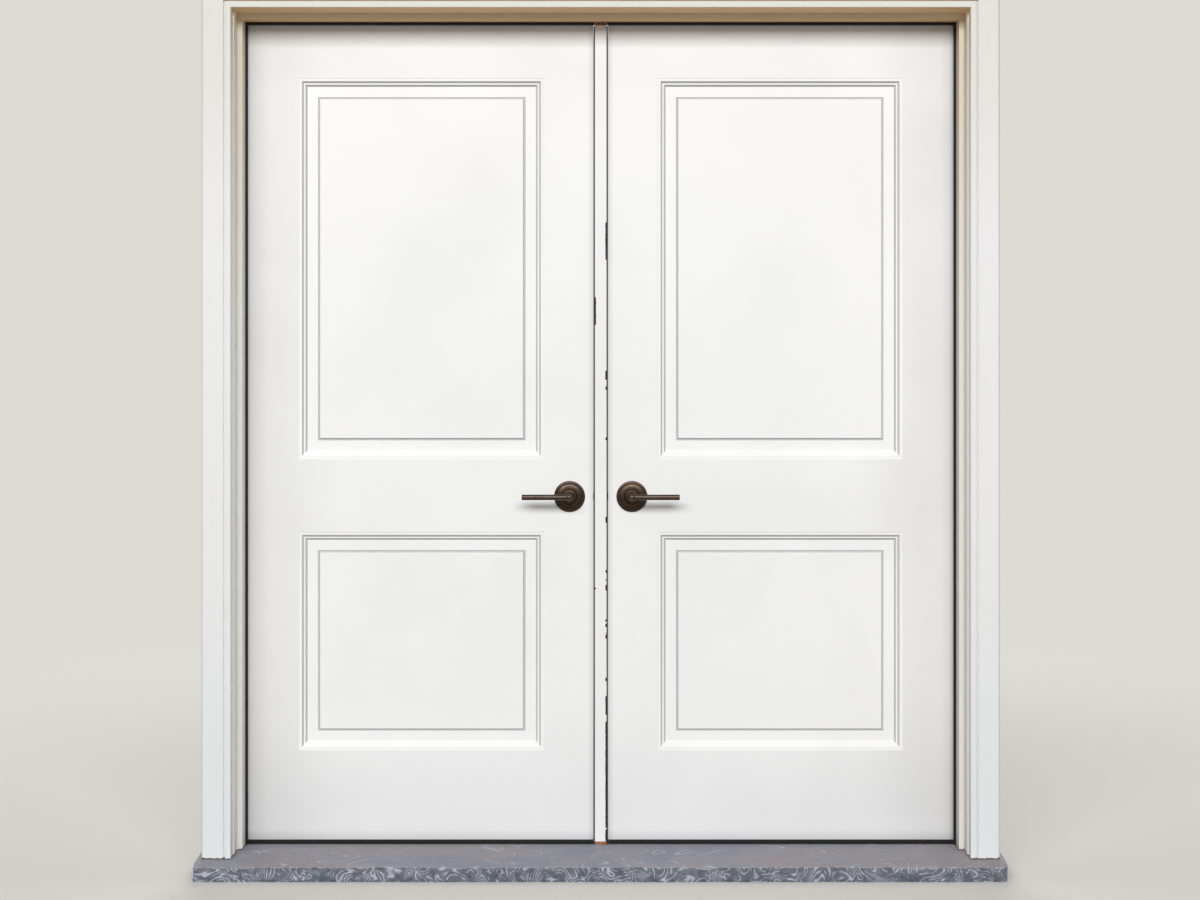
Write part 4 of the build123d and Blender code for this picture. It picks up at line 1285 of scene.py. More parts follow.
    def shell(self) -> Shell:
        """Builds the slab as a grid on top and rows of points down its sides.

        Returns:
            The slab's shell.
        """
        reach = self.rebate_reach
        wide = self.lines(self.low.x, self.high.x,
                          [s * (reach - e) for s in (-1, 1) for e in (0, self.rebate_edge)], self.pitch)
        nose = [self.low.y + step * MM for step in self.nose_steps]
        inner = [self.rebate_front, self.rebate_front + self.rebate_edge,
                 self.rebate_back - self.rebate_edge, self.rebate_back]
        deep = [self.low.y, *nose[:-1], *self.lines(nose[-1], self.high.y, inner, 1.4 * self.pitch)]
        shell = Shell()
        grid = [shell.ring([self.top_point(x, y) for x in wide]) for y in deep]
        for first, second in zip(grid, grid[1:]):
            shell.bridge(first, second, closed=False)
        edge = grid[0] + [row[-1] for row in grid[1:]] + grid[-1][-2::-1] + [row[0] for row in grid[-2:0:-1]]
        ring = edge
        plan = [self.rounded(x, y) for x, y in self.edge_plan(wide, deep)]
        for level in range(1, self.wall_levels + 1):
            left = 1 - level / self.wall_levels
            below = shell.ring([self.wall_point(x, y, shell.points[top][2] * left)
                                for (x, y), top in zip(plan, edge)])
            shell.bridge(ring, below)
            ring = below
        shell.face(ring)
        return shell

    def edge_plan(self, wide: Sequence[float], deep: Sequence[float]) -> list[Pair]:
        """Lists the plain places of the points round the slab, in the order of its edge.

        Args:
            wide: the grid's lines across the opening.
            deep: the grid's lines into the building.

        Returns:
            The places.
        """
        front = [(x, deep[0]) for x in wide]
        right = [(wide[-1], y) for y in deep[1:]]
        back = [(x, deep[-1]) for x in wide[-2::-1]]
        left = [(wide[0], y) for y in deep[-2:0:-1]]
        return front + right + back + left

    def pushed(self, x: float, y: float, z: float) -> Pair:
        """Moves a point of the side wall to where the stone is split away.

        Args:
            x: the point's place across the opening.
            y: its place into the building.
            z: its height.

        Returns:
            Its new place in plan.
        """
        far, near = self.split_reach
        depth = self.split(x, y, z) * eased(y, self.low.y + far, self.low.y + near)
        end = eased(abs(x), self.high.x - self.end_reach, self.high.x)
        sideways_share, kept_share = 0.7, 0.35
        inward = math.copysign(depth * end * sideways_share, -x)
        side_depth = self.end_chip * eased(self.end_waves.at(0, y, z), -0.4, 0.6) * end
        return x + inward + math.copysign(side_depth, -x), y + depth * (1 - kept_share * end)

    def shelter(self, y: float) -> float:
        """How far the ends wear away at a depth: 0 along the slab's plain back and 1 in front of it."""
        start, end = self.back_plain
        return eased(y, self.high.y - start, self.high.y - end)

    def wall_point(self, x: float, y: float, z: float) -> Point:
        """Places a point of the side wall.

        Args:
            x: the point's plain place across the opening.
            y: its plain place into the building.
            z: its height.

        Returns:
            The point.
        """
        moved = self.pushed(x, y, z)
        far, near = self.foot_reach
        foot = self.foot_chip * eased(z, self.foot_height, 0) * eased(y, self.low.y + far, self.low.y + near)
        return x + (moved[0] - x) * self.shelter(y), y + (moved[1] - y) + foot, z

    def top_point(self, x: float, y: float) -> Point:
        """Places a point of the top, drawn back and down near the ragged arris.

        Args:
            x: the point's grid place across the opening.
            y: its grid place into the building.

        Returns:
            The point.
        """
        left_end_share, slant = 1.6, 0.6
        plain_x, plain_y = self.rounded(x, y)
        from_nose = plain_y - self.low.y
        from_end = self.high.x - abs(plain_x)
        height = self.top(x, y)
        if height > self.rebate_floor or y < 0:
            height += self.cleft(x, y)
        near = min(from_nose, from_end if x > 0 else from_end * left_end_share)
        chip = self.chip(x + slant * y)
        outdoors = eased(y, *self.outdoors)
        height -= self.arris_chip * chip * (1 - eased(near, 0, self.arris_chip_reach)) * outdoors
        height -= self.arris_round * (1 - eased(near, 0, self.arris_round_reach)) * outdoors
        moved = self.pushed(plain_x, plain_y, self.front_height)
        held = 1 - eased(from_nose, 0, self.front_follow)
        ends = 1 - eased(from_end, 0, self.end_follow)
        across = plain_x + (moved[0] - plain_x) * ends * self.shelter(y)
        return across, plain_y + (moved[1] - plain_y) * held, min(height, self.high.z)

    def build(self, finishes: Finishes) -> None:
        """Makes the sill and puts it in place."""
        mesh = self.shell().mesh("stone_sill_split")
        make_piece("stone_sill_split", mesh, "frame", [finishes.stone], ["stone_sill"])


@dataclass
class TimberFrame:
    """The casings, linings, jambs and seals, with the threshold, in their finishes."""

    dresser: CadDresser
    timber_edge: float = 0.5 * MM
    threshold_edge: float = 0.3 * MM

    def build(self, finishes: Finishes) -> None:
        """Dresses the frame's nodes.

        Args:
            finishes: the doorway's finishes.
        """
        sides = [side.word for side in Side]
        timber = [f"{side}_{name}" for side in sides for name in ("casing", "lining", "jamb")]
        timber += ["head_casing", "head_lining", "head_jamb"]
        self.dresser.dress(finishes.frame, timber, self.timber_edge)
        self.dresser.dress(finishes.rubber, ["left_jamb_seal", "right_jamb_seal", "head_seal", "post_seals"])
        self.dresser.dress(finishes.threshold, ["threshold"], self.threshold_edge)


@dataclass
class CentrePost:
    """The white post between the leaves, its arrises knocked to bare wood in places and its sides dark as
    painted shade.
    """

    dresser: CadDresser
    arris: float = 1.5 * MM
    arris_steps: int = 4
    chip_width: float = 3.6 * MM
    chip_depth: float = 5 * MM
    run_in: float = 0.7 * MM
    bare_from: float = 0.3
    hollow: float = 0.25
    ragged: Pattern = Pattern((0, 1, 160), (0.4, 0, 0))
    spacing: float = 14 * MM
    chip_spacing: float = 3 * MM
    chip_end: float = 0.1 * MM
    # chips along each arris, as their lowest and highest points above the slab's underside
    right_chips: tuple[Pair, ...] = (
        (0.060, 0.093), (0.096, 0.368), (0.384, 0.433), (0.470, 0.479), (0.578, 0.589), (0.591, 0.594),
        (0.608, 0.617), (0.622, 0.628), (0.701, 0.716), (0.726, 0.730), (0.746, 0.754), (0.874, 0.889),
        (1.084, 1.092), (1.212, 1.222), (1.238, 1.262), (1.544, 1.640))
    left_chips: tuple[Pair, ...] = ((0.704, 0.709), (1.378, 1.449))
    mortise_depth: float = 1.5 * MM
    proud: float = 1 * MM
    pocket_depth: float = 10 * MM
    pocket_height: float = 22 * MM
    pocket_width: float = 16 * MM
    block_edge: float = 0.4 * MM
    plate_edge: float = 0.3 * MM

    def __post_init__(self) -> None:
        """Reads the post's box from the frame."""
        self.low, self.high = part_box("centre_post")

    def share(self, z: float, chips: Sequence[Pair]) -> float:
        """Finds how much of an arris is gone.

        Args:
            z: the height.
            chips: the arris's chips.

        Returns:
            The share, from 0 to 1.
        """
        found = 0.0
        for bottom, top in chips:
            inside = min(z - bottom, top - z)
            if inside > 0:
                found = max(found, min(1.0, inside / self.run_in))
        usual, drift = 0.75, 0.35
        return found * min(1.0, usual + drift * self.ragged.at(0, len(chips), z))

    def heights(self) -> list[float]:
        """Lists the levels of the post's rings, closer together at the chips.

        Returns:
            The levels from the bottom up.
        """
        levels = {self.low.z, self.high.z}
        count = int((self.high.z - self.low.z) / self.spacing)
        levels.update(self.low.z + self.spacing * number for number in range(1, count))
        for bottom, top in self.right_chips + self.left_chips:
            inner = max(1, round((top - bottom) / self.chip_spacing))
            levels.update((bottom - self.chip_end, top + self.chip_end))
            ends = (bottom + self.run_in, top - self.run_in)
            levels.update(ends[0] + (ends[1] - ends[0]) * number / inner for number in range(inner + 1))
        return sorted(z for z in levels if self.low.z <= z <= self.high.z)

    def corner(self, gone: float) -> list[Pair]:
        """Half a front edge's outline, as X past the face's edge and Y past the front.

        Args:
            gone: how much of the arris is chipped away.

        Returns:
            Points from the front face to the side face.
        """
        half = self.high.x
        points = []
        for number in range(self.arris_steps + 1):
            share = number / self.arris_steps
            angle = share * math.pi / 2
            whole = (half - self.arris * (1 - math.sin(angle)),
                     self.low.y + self.arris * (1 - math.cos(angle)))
            hollow = self.hollow * math.sin(share * math.pi)
            bare = (half - self.chip_width * (1 - share) - hollow * self.chip_width,
                    self.low.y + self.chip_depth * share + hollow * self.chip_width)
            points.append((whole[0] + (bare[0] - whole[0]) * gone, whole[1] + (bare[1] - whole[1]) * gone))
        return points

    def shell(self) -> Shell:
        """Builds the post from rings up its height.

        Returns:
            The post's shell.
        """
        shell = Shell()
        rings, bare = [], []
        for z in self.heights():
            gone = (self.share(z, self.left_chips), self.share(z, self.right_chips))
            left = [(-x, y, z) for x, y in self.corner(gone[0])][::-1]
            right = [(x, y, z) for x, y in self.corner(gone[1])]
            back = [(self.high.x, self.high.y, z), (self.low.x, self.high.y, z)]
            rings.append(shell.ring(left + right + back))
            bare.append(gone)
        for number in range(len(rings) - 1):
            chipped = [min(bare[number][s], bare[number + 1][s]) > self.bare_from for s in (0, 1)]
            shell.bridge(rings[number], rings[number + 1], mark=lambda face, c=chipped: self.bared(face, *c))
        shell.face(rings[0])
        shell.face(rings[-1])
        return shell

    def bared(self, face: int, left: bool, right: bool) -> int:
        """Finds whether one face of a ring is painted white, or dark for bare wood in a chip or for painted
        shade on a side.

        Args:
            face: the face's number in the ring, from the front's left arris round.
            left: whether the left arris is chipped there.
            right: whether the right arris is chipped there.

        Returns:
            The number of its material: 0 painted, 1 dark for bare wood or the sides' painted shade.
        """
        steps = self.arris_steps
        # the side faces, in the gaps beside the leaves, are dark as painted shade
        side_faces = (2 * steps + 1, 2 * steps + 3)
        chipped = (face < steps and left) or (steps < face <= 2 * steps and right)
        return int(chipped or face in side_faces)

    def cutters(self) -> list[Mesh]:
        """Makes the mortises for the strike plates and the pockets for the bolts.

        Returns:
            The meshes to cut from the post.
        """
        made = []
        for side in Side:
            low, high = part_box(f"{side.word}_strike_plate")
            middle = (low + high) / 2
            spans = [sorted((side.value * (self.high.x - depth), side.value * (self.high.x + self.proud)))
                     for depth in (self.mortise_depth, self.pocket_depth)]
            corners = [(low.y, low.z, high.y, high.z),
                       (middle.y - self.pocket_width / 2, middle.z - self.pocket_height / 2,
                        middle.y + self.pocket_width / 2, middle.z + self.pocket_height / 2)]
            for (x_low, x_high), (y_low, z_low, y_high, z_high) in zip(spans, corners):
                made.append(box_shell((x_low, y_low, z_low), (x_high, y_high, z_high)).mesh("mortise"))
        return made

    def build(self, finishes: Finishes) -> None:
        """Makes the post and dresses what is fixed to it.

        Args:
            finishes: the doorway's finishes.
        """
        mesh = combined(self.shell().mesh("post_plain"), self.cutters(), Operation.CUT)
        make_piece("centre_post_painted", mesh, "frame", [finishes.post, finishes.weathered],
                   ["centre_post"])
        self.dresser.dress(finishes.timber, ["post_end_blocks"], self.block_edge)
        self.dresser.dress(finishes.steel, ["left_strike_plate", "right_strike_plate"], self.plate_edge)


class Paint(Enum):
    """The parts of a leaf's skin that have a paint of their own, in the order of the paints."""

    FLAT = 0
    # the moulding's paint is a touch lighter, a painted highlight against its recess's shade
    MOULDING = 1
    # the hollows' darker paint is painted shade on the moulding's slopes and groove
    HOLLOW = 2
    FIELD = 3


@dataclass
class Leaf:
    """One door leaf: two moulded skins over timber and foam."""

    side: Side
    dresser: CadDresser
    hinge_stile: float = 145 * MM
    panel_width: float = 625 * MM
    top_rail: float = 151 * MM
    upper_height: float = 971.6 * MM
    lock_rail: float = 186 * MM
    lower_height: float = 556 * MM
    skin: float = 2.5 * MM
    arris: float = 0.9 * MM
    arris_steps: int = 3
    bore: float = 27 * MM
    bore_steps: int = 48
    hinge_plate: float = 2.8 * MM
    hinge_height: float = 102 * MM
    hinge_play: float = 0.05 * MM
    # the panels' moulding in millimetres: steps in from the panel's edge against depth
    moulding: tuple[Pair, ...] = ((0, 0), (0.9, 0.9), (8, 1.5), (12.2, 6.4), (16.4, 7), (20.6, 12.6),
                                  (47.4, 12.6), (48.8, 15), (50.2, 15), (53.4, 8.4), (56, 8.4))
    corner_cut: float = 0.7 * MM
    # the moulding's steep slopes, darker as painted shade except along the panel's bottom, as steps in from
    # the panel's edge
    dusty_slopes: tuple[Pair, ...] = ((7.6 * MM, 12.6 * MM), (16 * MM, 21 * MM))
    field_groove: Pair = (47.2 * MM, 53.2 * MM)

    def __post_init__(self) -> None:
        """Reads the leaf's box from the frame, on the right side."""
        self.low, self.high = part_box("right_outer_skin")
        self.back_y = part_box("right_inner_skin")[1].y
        spindle_low, spindle_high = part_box("right_spindle")
        self.spindle = (spindle_low + spindle_high) / 2

    def panels(self) -> list[Pair]:
        """Finds the heights of the two panels.

        Returns:
            Each panel's lowest and highest edge, from the bottom up.
        """
        upper_top = self.high.z - self.top_rail
        upper_bottom = upper_top - self.upper_height
        lower_top = upper_bottom - self.lock_rail
        return [(lower_top - self.lower_height, lower_top), (upper_bottom, upper_top)]

    def columns(self) -> list[float]:
        """The X of the leaf's edges and the panels' edges."""
        panel_out = self.high.x - self.hinge_stile
        return [self.low.x, panel_out - self.panel_width, panel_out, self.high.x]

    def outline(self) -> list[Pair]:
        """The moulding's face in metres, with its corners softened by the paint."""
        return softened([(x * MM, y * MM) for x, y in self.moulding], self.corner_cut)

    def back_outline(self) -> list[Pair]:
        """The moulding's back, one skin's thickness behind its face."""
        return set_back([(x * MM, y * MM) for x, y in self.moulding], self.skin)

    def rows(self) -> list[float]:
        """The Z of the leaf's edges and the panels' edges."""
        return [self.low.z, *self.panels()[0], *self.panels()[1], self.high.z]

    def lattice(self, shell: Shell, depth: float, outset: float) -> dict[tuple[int, int], int]:
        """Adds the crossings of the leaf's columns and rows at a depth, in the row frame.

        Args:
            shell: the shell to add to.
            depth: how far behind the leaf's face they lie.
            outset: how far the outer ones are drawn in from the leaf's edges.

        Returns:
            The points' numbers by column and row.
        """
        xs, zs = self.columns(), self.rows()
        xs = [xs[0] + outset, *xs[1:-1], xs[-1] - outset]
        zs = [zs[0] + outset, *zs[1:-1], zs[-1] - outset]
        return {(i, j): shell.ring([(x, self.low.y + depth, z)])[0] for i, x in enumerate(xs)
                for j, z in enumerate(zs)}

    def sheet(self, shell: Shell, grid: dict[tuple[int, int], int], line: Sequence[Pair]) -> list[int]:
        """Adds one face of the skin: its flat parts, its bore and its two moulded panels.

        Args:
            shell: the shell to add to.
            grid: the crossings of the columns and rows.
            line: the moulding on that face.

        Returns:
            The bore's ring.
        """
        panel_column, panel_rows = 1, (1, 3)
        lock_column, lock_row = 0, 2
        bore_ring: list[int] = []
        for i in range(3):
            for j in range(5):
                cell = [grid[i, j], grid[i + 1, j], grid[i + 1, j + 1], grid[i, j + 1]]
                if i == panel_column and j in panel_rows:
                    self.panel(shell, cell, line)
                elif i == lock_column and j == lock_row:
                    bore_ring = self.bored(shell, cell)
                else:
                    shell.face(cell)
        return bore_ring

    def panel(self, shell: Shell, corners: Sequence[int], line: Sequence[Pair]) -> None:
        """Adds a panel's moulding as mitred rings, and its field.

        Args:
            shell: the shell to add to.
            corners: the panel's corners in the leaf's face.
            line: the moulding on that face.
        """
        places = [Vector(shell.points[number]) for number in corners]
        ring = list(corners)
        start = line[0][1]
        signs = ((1, 1), (-1, 1), (-1, -1), (1, -1))
        for (before, _), (inset, depth) in zip(line, line[1:]):
            moved = [(p.x + across * inset, p.y + depth - start, p.z + up * inset)
                     for p, (across, up) in zip(places, signs)]
            inner = shell.ring(moved)
            middle = (before + inset) / 2
            shell.bridge(ring, inner, mark=lambda face, at=middle: self.paint(face, at).value)
            ring = inner
        shell.face(ring, Paint.FIELD.value)

    def paint(self, face: int, inset: float) -> Paint:
        """The paint on one side of a ring of moulding.

        Args:
            face: the side: 0 is the bottom one, then on round the panel.
            inset: how far in from the panel's edge the ring lies.

        Returns:
            The paint.
        """
        bottom = 0
        # painted shade on the steep slopes away from the bottom, and in the field's groove
        if face != bottom and any(low < inset < high for low, high in self.dusty_slopes):
            return Paint.HOLLOW
        if self.field_groove[0] < inset < self.field_groove[1]:
            return Paint.HOLLOW
        return Paint.MOULDING if inset < self.field_groove[1] else Paint.FIELD

    def bored(self, shell: Shell, corners: Sequence[int]) -> list[int]:
        """Adds a flat cell with the lock set's round bore in it, as four faces.

        Args:
            shell: the shell to add to.
            corners: the cell's corners, from the lowest one on the lock side.

        Returns:
            The bore's ring.
        """
        y = shell.points[corners[0]][1]
        steps = self.bore_steps
        # the turn from X back to the first corner, as a share of a whole one
        first_corner = 0.375
        angles = [math.tau * (number / steps - first_corner) for number in range(steps)]
        middle, reach = self.spindle, self.bore
        ring = shell.ring([(middle.x + reach * math.cos(a), y, middle.z + reach * math.sin(a))
                           for a in angles])
        quarter = steps // 4
        for number in range(4):
            arc = [ring[(number * quarter + k) % steps] for k in range(quarter + 1)]
            shell.face([corners[number], corners[(number + 1) % 4], *arc[::-1]])
        return ring

    def border(self, grid: dict[tuple[int, int], int]) -> list[int]:
        """Lists the lattice's outer points in order.

        Args:
            grid: the crossings of the columns and rows.

        Returns:
            The points' numbers.
        """
        bottom = [grid[i, 0] for i in range(4)]
        right = [grid[3, j] for j in range(1, 6)]
        top = [grid[i, 5] for i in (2, 1, 0)]
        left = [grid[0, j] for j in range(4, 0, -1)]
        return bottom + right + top + left

    def skin_shell(self) -> Shell:
        """Builds the outer skin of the right leaf as one closed sheet.

        Returns:
            The skin's shell.
        """
        shell = Shell()
        front = self.lattice(shell, 0, self.arris)
        back = self.lattice(shell, self.skin, 0)
        front_bore = self.sheet(shell, front, self.outline())
        back_bore = self.sheet(shell, back, self.back_outline())
        shell.bridge(front_bore, back_bore)
        ring = self.border(front)
        for number in range(1, self.arris_steps + 1):
            angle = number / self.arris_steps * math.pi / 2
            drawn_in = self.arris * (1 - math.sin(angle))
            depth = self.arris * (1 - math.cos(angle))
            following = self.border(self.lattice(shell, depth, drawn_in))
            shell.bridge(ring, following)
            ring = following
        shell.bridge(ring, self.border(back))
        return shell

    @staticmethod
    def prune(mesh: Mesh) -> None:
        """Removes lattice points that no face uses.

        Args:
            mesh: the mesh to clean.
        """
        work = bmesh.new()
        work.from_mesh(mesh)
        loose = [v for v in work.verts if not v.link_faces]
        bmesh.ops.delete(work, geom=loose, context="VERTS")
        work.to_mesh(mesh)
        work.free()

    def hinge_cutters(self) -> list[Mesh]:
        """Makes the notches for the hinge plates in the inner skin.

        Returns:
            The meshes to cut from the skin.
        """
        low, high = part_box(f"{self.side.word}_hinge_door_leaves")
        half = self.hinge_height / 2 + self.hinge_play
        middle = (low.z + high.z) / 2
        reach = (high.z - low.z - self.hinge_height) / 2
        edge = self.high.x * self.side.value
        x_low, x_high = sorted((edge - self.side.value * self.hinge_plate, edge + self.side.value * MM))
        back = self.back_y + MM
        return [box_shell((x_low, self.low.y, z - half), (x_high, back, z + half)).mesh("hinge_notch")
                for z in (middle - reach, middle, middle + reach)]

    def build(self, finishes: Finishes) -> None:
        """Makes both skins and dresses the timber, foam and sweep.

        Args:
            finishes: the doorway's finishes.
        """
        word = self.side.word
        body = f"{word}_leaf"
        shell = self.skin_shell()
        outer = shell.mesh(f"{word}_outer_skin_moulded", self.side)
        self.prune(outer)
        make_piece(f"{word}_outer_skin_moulded", outer, body, finishes.leaf,
                   [f"{word}_outer_skin"])
        middle_y = (self.low.y + self.back_y) / 2
        shell.points = [(x, 2 * middle_y - y, z) for x, y, z in shell.points]
        inner = shell.mesh(f"{word}_inner_skin_plain", self.side)
        self.prune(inner)
        inner = combined(inner, self.hinge_cutters(), Operation.CUT)
        make_piece(f"{word}_inner_skin_moulded", inner, body, finishes.leaf,
                   [f"{word}_inner_skin"])
        edges = [f"{word}_{name}" for name in ("hinge_stile", "lock_stile", "top_rail", "bottom_rail")]
        self.dresser.dress(finishes.leaf_edge, edges)
        self.dresser.dress(finishes.timber, [f"{word}_lock_block"])
        self.dresser.dress(finishes.foam, [f"{word}_core"])
        self.dresser.dress(finishes.rubber, [f"{word}_sweep"])


@dataclass
class LockSet:
    """One leaf's roses, levers, spindle and latch."""

    side: Side
    dresser: CadDresser
    steps: int = 112
    bar_steps: int = 72
    rod_steps: int = 40
    # the rose in millimetres: radius against standoff from the leaf's face
    rose: tuple[Pair, ...] = ((11.2, 0), (39.5, 0), (39.5, 2.5), (38, 4.2), (35.5, 4.8), (32.5, 4.8),
                              (31.7, 6.8), (26, 8.4), (20.4, 9.1), (19.9, 8.1), (19.1, 8.1), (18.6, 11.6),
                              (15.5, 13.4), (11.2, 14), (11.2, 0))
    # the lever's neck in the same way
    neck: tuple[Pair, ...] = ((0, 3), (10.8, 3), (10.8, 17), (9.6, 21), (8.2, 27), (7.4, 36), (7.2, 52),
                              (0, 52))
    rose_softening: float = 0.45 * MM
    neck_softening: float = 1.2 * MM
    standoff: float = 52 * MM
    length: float = 120 * MM
    bar: float = 7.1 * MM
    ball: float = 9.58 * MM
    ball_steps: int = 22
    # the fillet between ball and bar: the angle on the ball where it starts, and its reach along the bar
    fillet_angle: float = 0.12
    fillet_reach: float = 1.6 * MM
    tip: float = 0.8 * MM
    boss: float = 3.8 * MM
    boss_reach: float = 20 * MM
    screw_offset: float = 23 * MM
    screw_hole: float = 2.05 * MM
    screw_head: float = 3.8 * MM
    screw_seat: float = 5 * MM
    screw_top: float = 12 * MM
    socket: float = 8 * MM
    socket_reach: float = 29 * MM
    steel_edge: float = 0.3 * MM

    def __post_init__(self) -> None:
        """Reads the spindle's axis and the leaf's faces from the frame, on the right side."""
        low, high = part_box("right_spindle")
        self.axis = (low + high) / 2
        self.face_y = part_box("right_outer_skin")[0].y
        self.back_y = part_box("right_inner_skin")[1].y

    def place(self, across: float, up: float, out: float, inner: bool) -> Point:
        """A point from its place across the spindle and its standoff from the face it is on."""
        y = self.back_y + out if inner else self.face_y - out
        return (self.axis.x + across, y, self.axis.z + up)

    def cylinder(self, radius: float, up: float, outs: Pair, inner: bool) -> Mesh:
        """A plain rod along the spindle's direction, used to join or cut.

        Args:
            radius: its radius.
            up: how far above the spindle it lies.
            outs: its two ends as standoffs from the leaf's face.
            inner: whether it is on the inner face.

        Returns:
            The rod's mesh, mirrored for the left side.
        """
        outline = ((0, outs[0]), (radius, outs[0]), (radius, outs[1]), (0, outs[1]))
        shell = turned(outline, self.rod_steps, lambda a, b, h: self.place(a, b + up, h, inner))
        return shell.mesh("rod", self.side)

    def rose_mesh(self, inner: bool) -> Mesh:
        """Makes a rose with its clamping bosses outside, or its counterbored screw holes inside.

        Args:
            inner: whether it is on the inner face.

        Returns:
            The rose's mesh, mirrored for the left side.
        """
        outline = [(r * MM, out * MM) for r, out in self.rose]
        outline = softened(outline, self.rose_softening)[:-1]
        shell = turned(outline, self.steps, lambda a, b, h: self.place(a, b, h, inner))
        mesh = shell.mesh("rose_plain", self.side)
        offsets = (-self.screw_offset, self.screw_offset)
        if inner:
            seat = (self.screw_seat, self.screw_top)
            heads = [self.cylinder(self.screw_head, up, seat, True) for up in offsets]
            holes = [self.cylinder(self.screw_hole, up, (-MM, self.screw_top), True) for up in offsets]
            return combined(mesh, heads + holes, Operation.CUT)
        bosses = [self.cylinder(self.boss, up, (-self.boss_reach, MM), False) for up in offsets]
        joined = combined(mesh, bosses, Operation.JOIN)
        holes = [self.cylinder(self.screw_hole, up, (-self.boss_reach - MM, -MM), False) for up in offsets]
        return combined(joined, holes, Operation.CUT)

    def bar_outline(self) -> list[Pair]:
        """Draws the ball and bar as one outline to be turned about X.

        Returns:
            Radius against distance from the spindle, from the ball's pole to the bar's tip.
        """
        meet = math.asin(self.bar / self.ball)
        end = meet + self.fillet_angle
        points = []
        for number in range(self.ball_steps + 1):
            angle = math.pi - (math.pi - end) * number / self.ball_steps
            points.append((self.ball * math.sin(angle), self.ball * math.cos(angle)))
        points[0] = (0.0, -self.ball)
        join = self.ball * math.cos(meet)
        last = Vector(points[-1])
        first = Vector((self.bar, join + self.fillet_reach))
        pivot = Vector((self.bar, join))
        points += [tuple(last.lerp(pivot, s).lerp(pivot.lerp(first, s), s)) for s in (0.25, 0.5, 0.75, 1)]
        stretch = self.length - self.tip - first.y
        points += [(self.bar, first.y + stretch * share) for share in (0.5, 1)]
        bulge, rim = 0.3 * self.tip, 0.6 * self.tip
        points += [(self.bar - bulge, self.length - bulge), (self.bar - self.tip, self.length)]
        points += [(self.bar - self.tip - rim, self.length), (0.0, self.length)]
        return points

    def lever_mesh(self, inner: bool) -> Mesh:
        """Makes a lever: neck, ball and bar joined as one casting, with the spindle's square socket.

        Args:
            inner: whether it is on the inner face.

        Returns:
            The lever's mesh, mirrored for the left side.
        """
        outline = softened([(r * MM, out * MM) for r, out in self.neck], self.neck_softening)
        neck = turned(outline, self.steps, lambda a, b, h: self.place(a, b, h, inner))
        bar = turned(self.bar_outline(), self.bar_steps,
                     lambda a, b, h: self.place(h, a, self.standoff + b, inner))
        joined = combined(bar.mesh("bar", self.side), [neck.mesh("neck", self.side)], Operation.JOIN)
        half = self.socket / 2
        corners = [self.place(s * half, s * half, out, inner)
                   for s, out in ((-1, 0.0), (1, self.socket_reach))]
        low = tuple(min(a, b) for a, b in zip(*corners))
        high = tuple(max(a, b) for a, b in zip(*corners))
        return combined(joined, [box_shell(low, high).mesh("socket", self.side)], Operation.CUT)

    def build(self, finishes: Finishes) -> None:
        """Makes the roses and levers, and dresses the spindle and latch.

        Args:
            finishes: the doorway's finishes.
        """
        word = self.side.word
        for inner, place in ((False, "outer"), (True, "inner")):
            make_piece(f"{word}_{place}_rose_turned", self.rose_mesh(inner), f"{word}_leaf",
                       [finishes.bronze], [f"{word}_{place}_rose"])
            make_piece(f"{word}_{place}_lever_cast", self.lever_mesh(inner), f"{word}_lever",
                       [finishes.lever], [f"{word}_{place}_lever"])
        steel = [f"{word}_spindle", f"{word}_latch_case", f"{word}_latch_bolt"]
        self.dresser.dress(finishes.steel, steel, self.steel_edge)


@dataclass
class Hinges:
    """The butt hinges' plates, pins and screws."""

    dresser: CadDresser
    plate_edge: float = 0.35 * MM

    def build(self, finishes: Finishes) -> None:
        """Dresses the hinges' nodes.

        Args:
            finishes: the doorway's finishes.
        """
        halves = ("hinge_frame_leaves", "hinge_door_leaves")
        plates = [f"{side.word}_{name}" for side in Side for name in halves]
        self.dresser.dress(finishes.hinge, plates, self.plate_edge)
        pins = [f"{side.word}_{name}" for side in Side for name in ("hinge_pins", "leaf_screws")]
        self.dresser.dress(finishes.hinge, [*pins, "frame_screws"])


# Studio

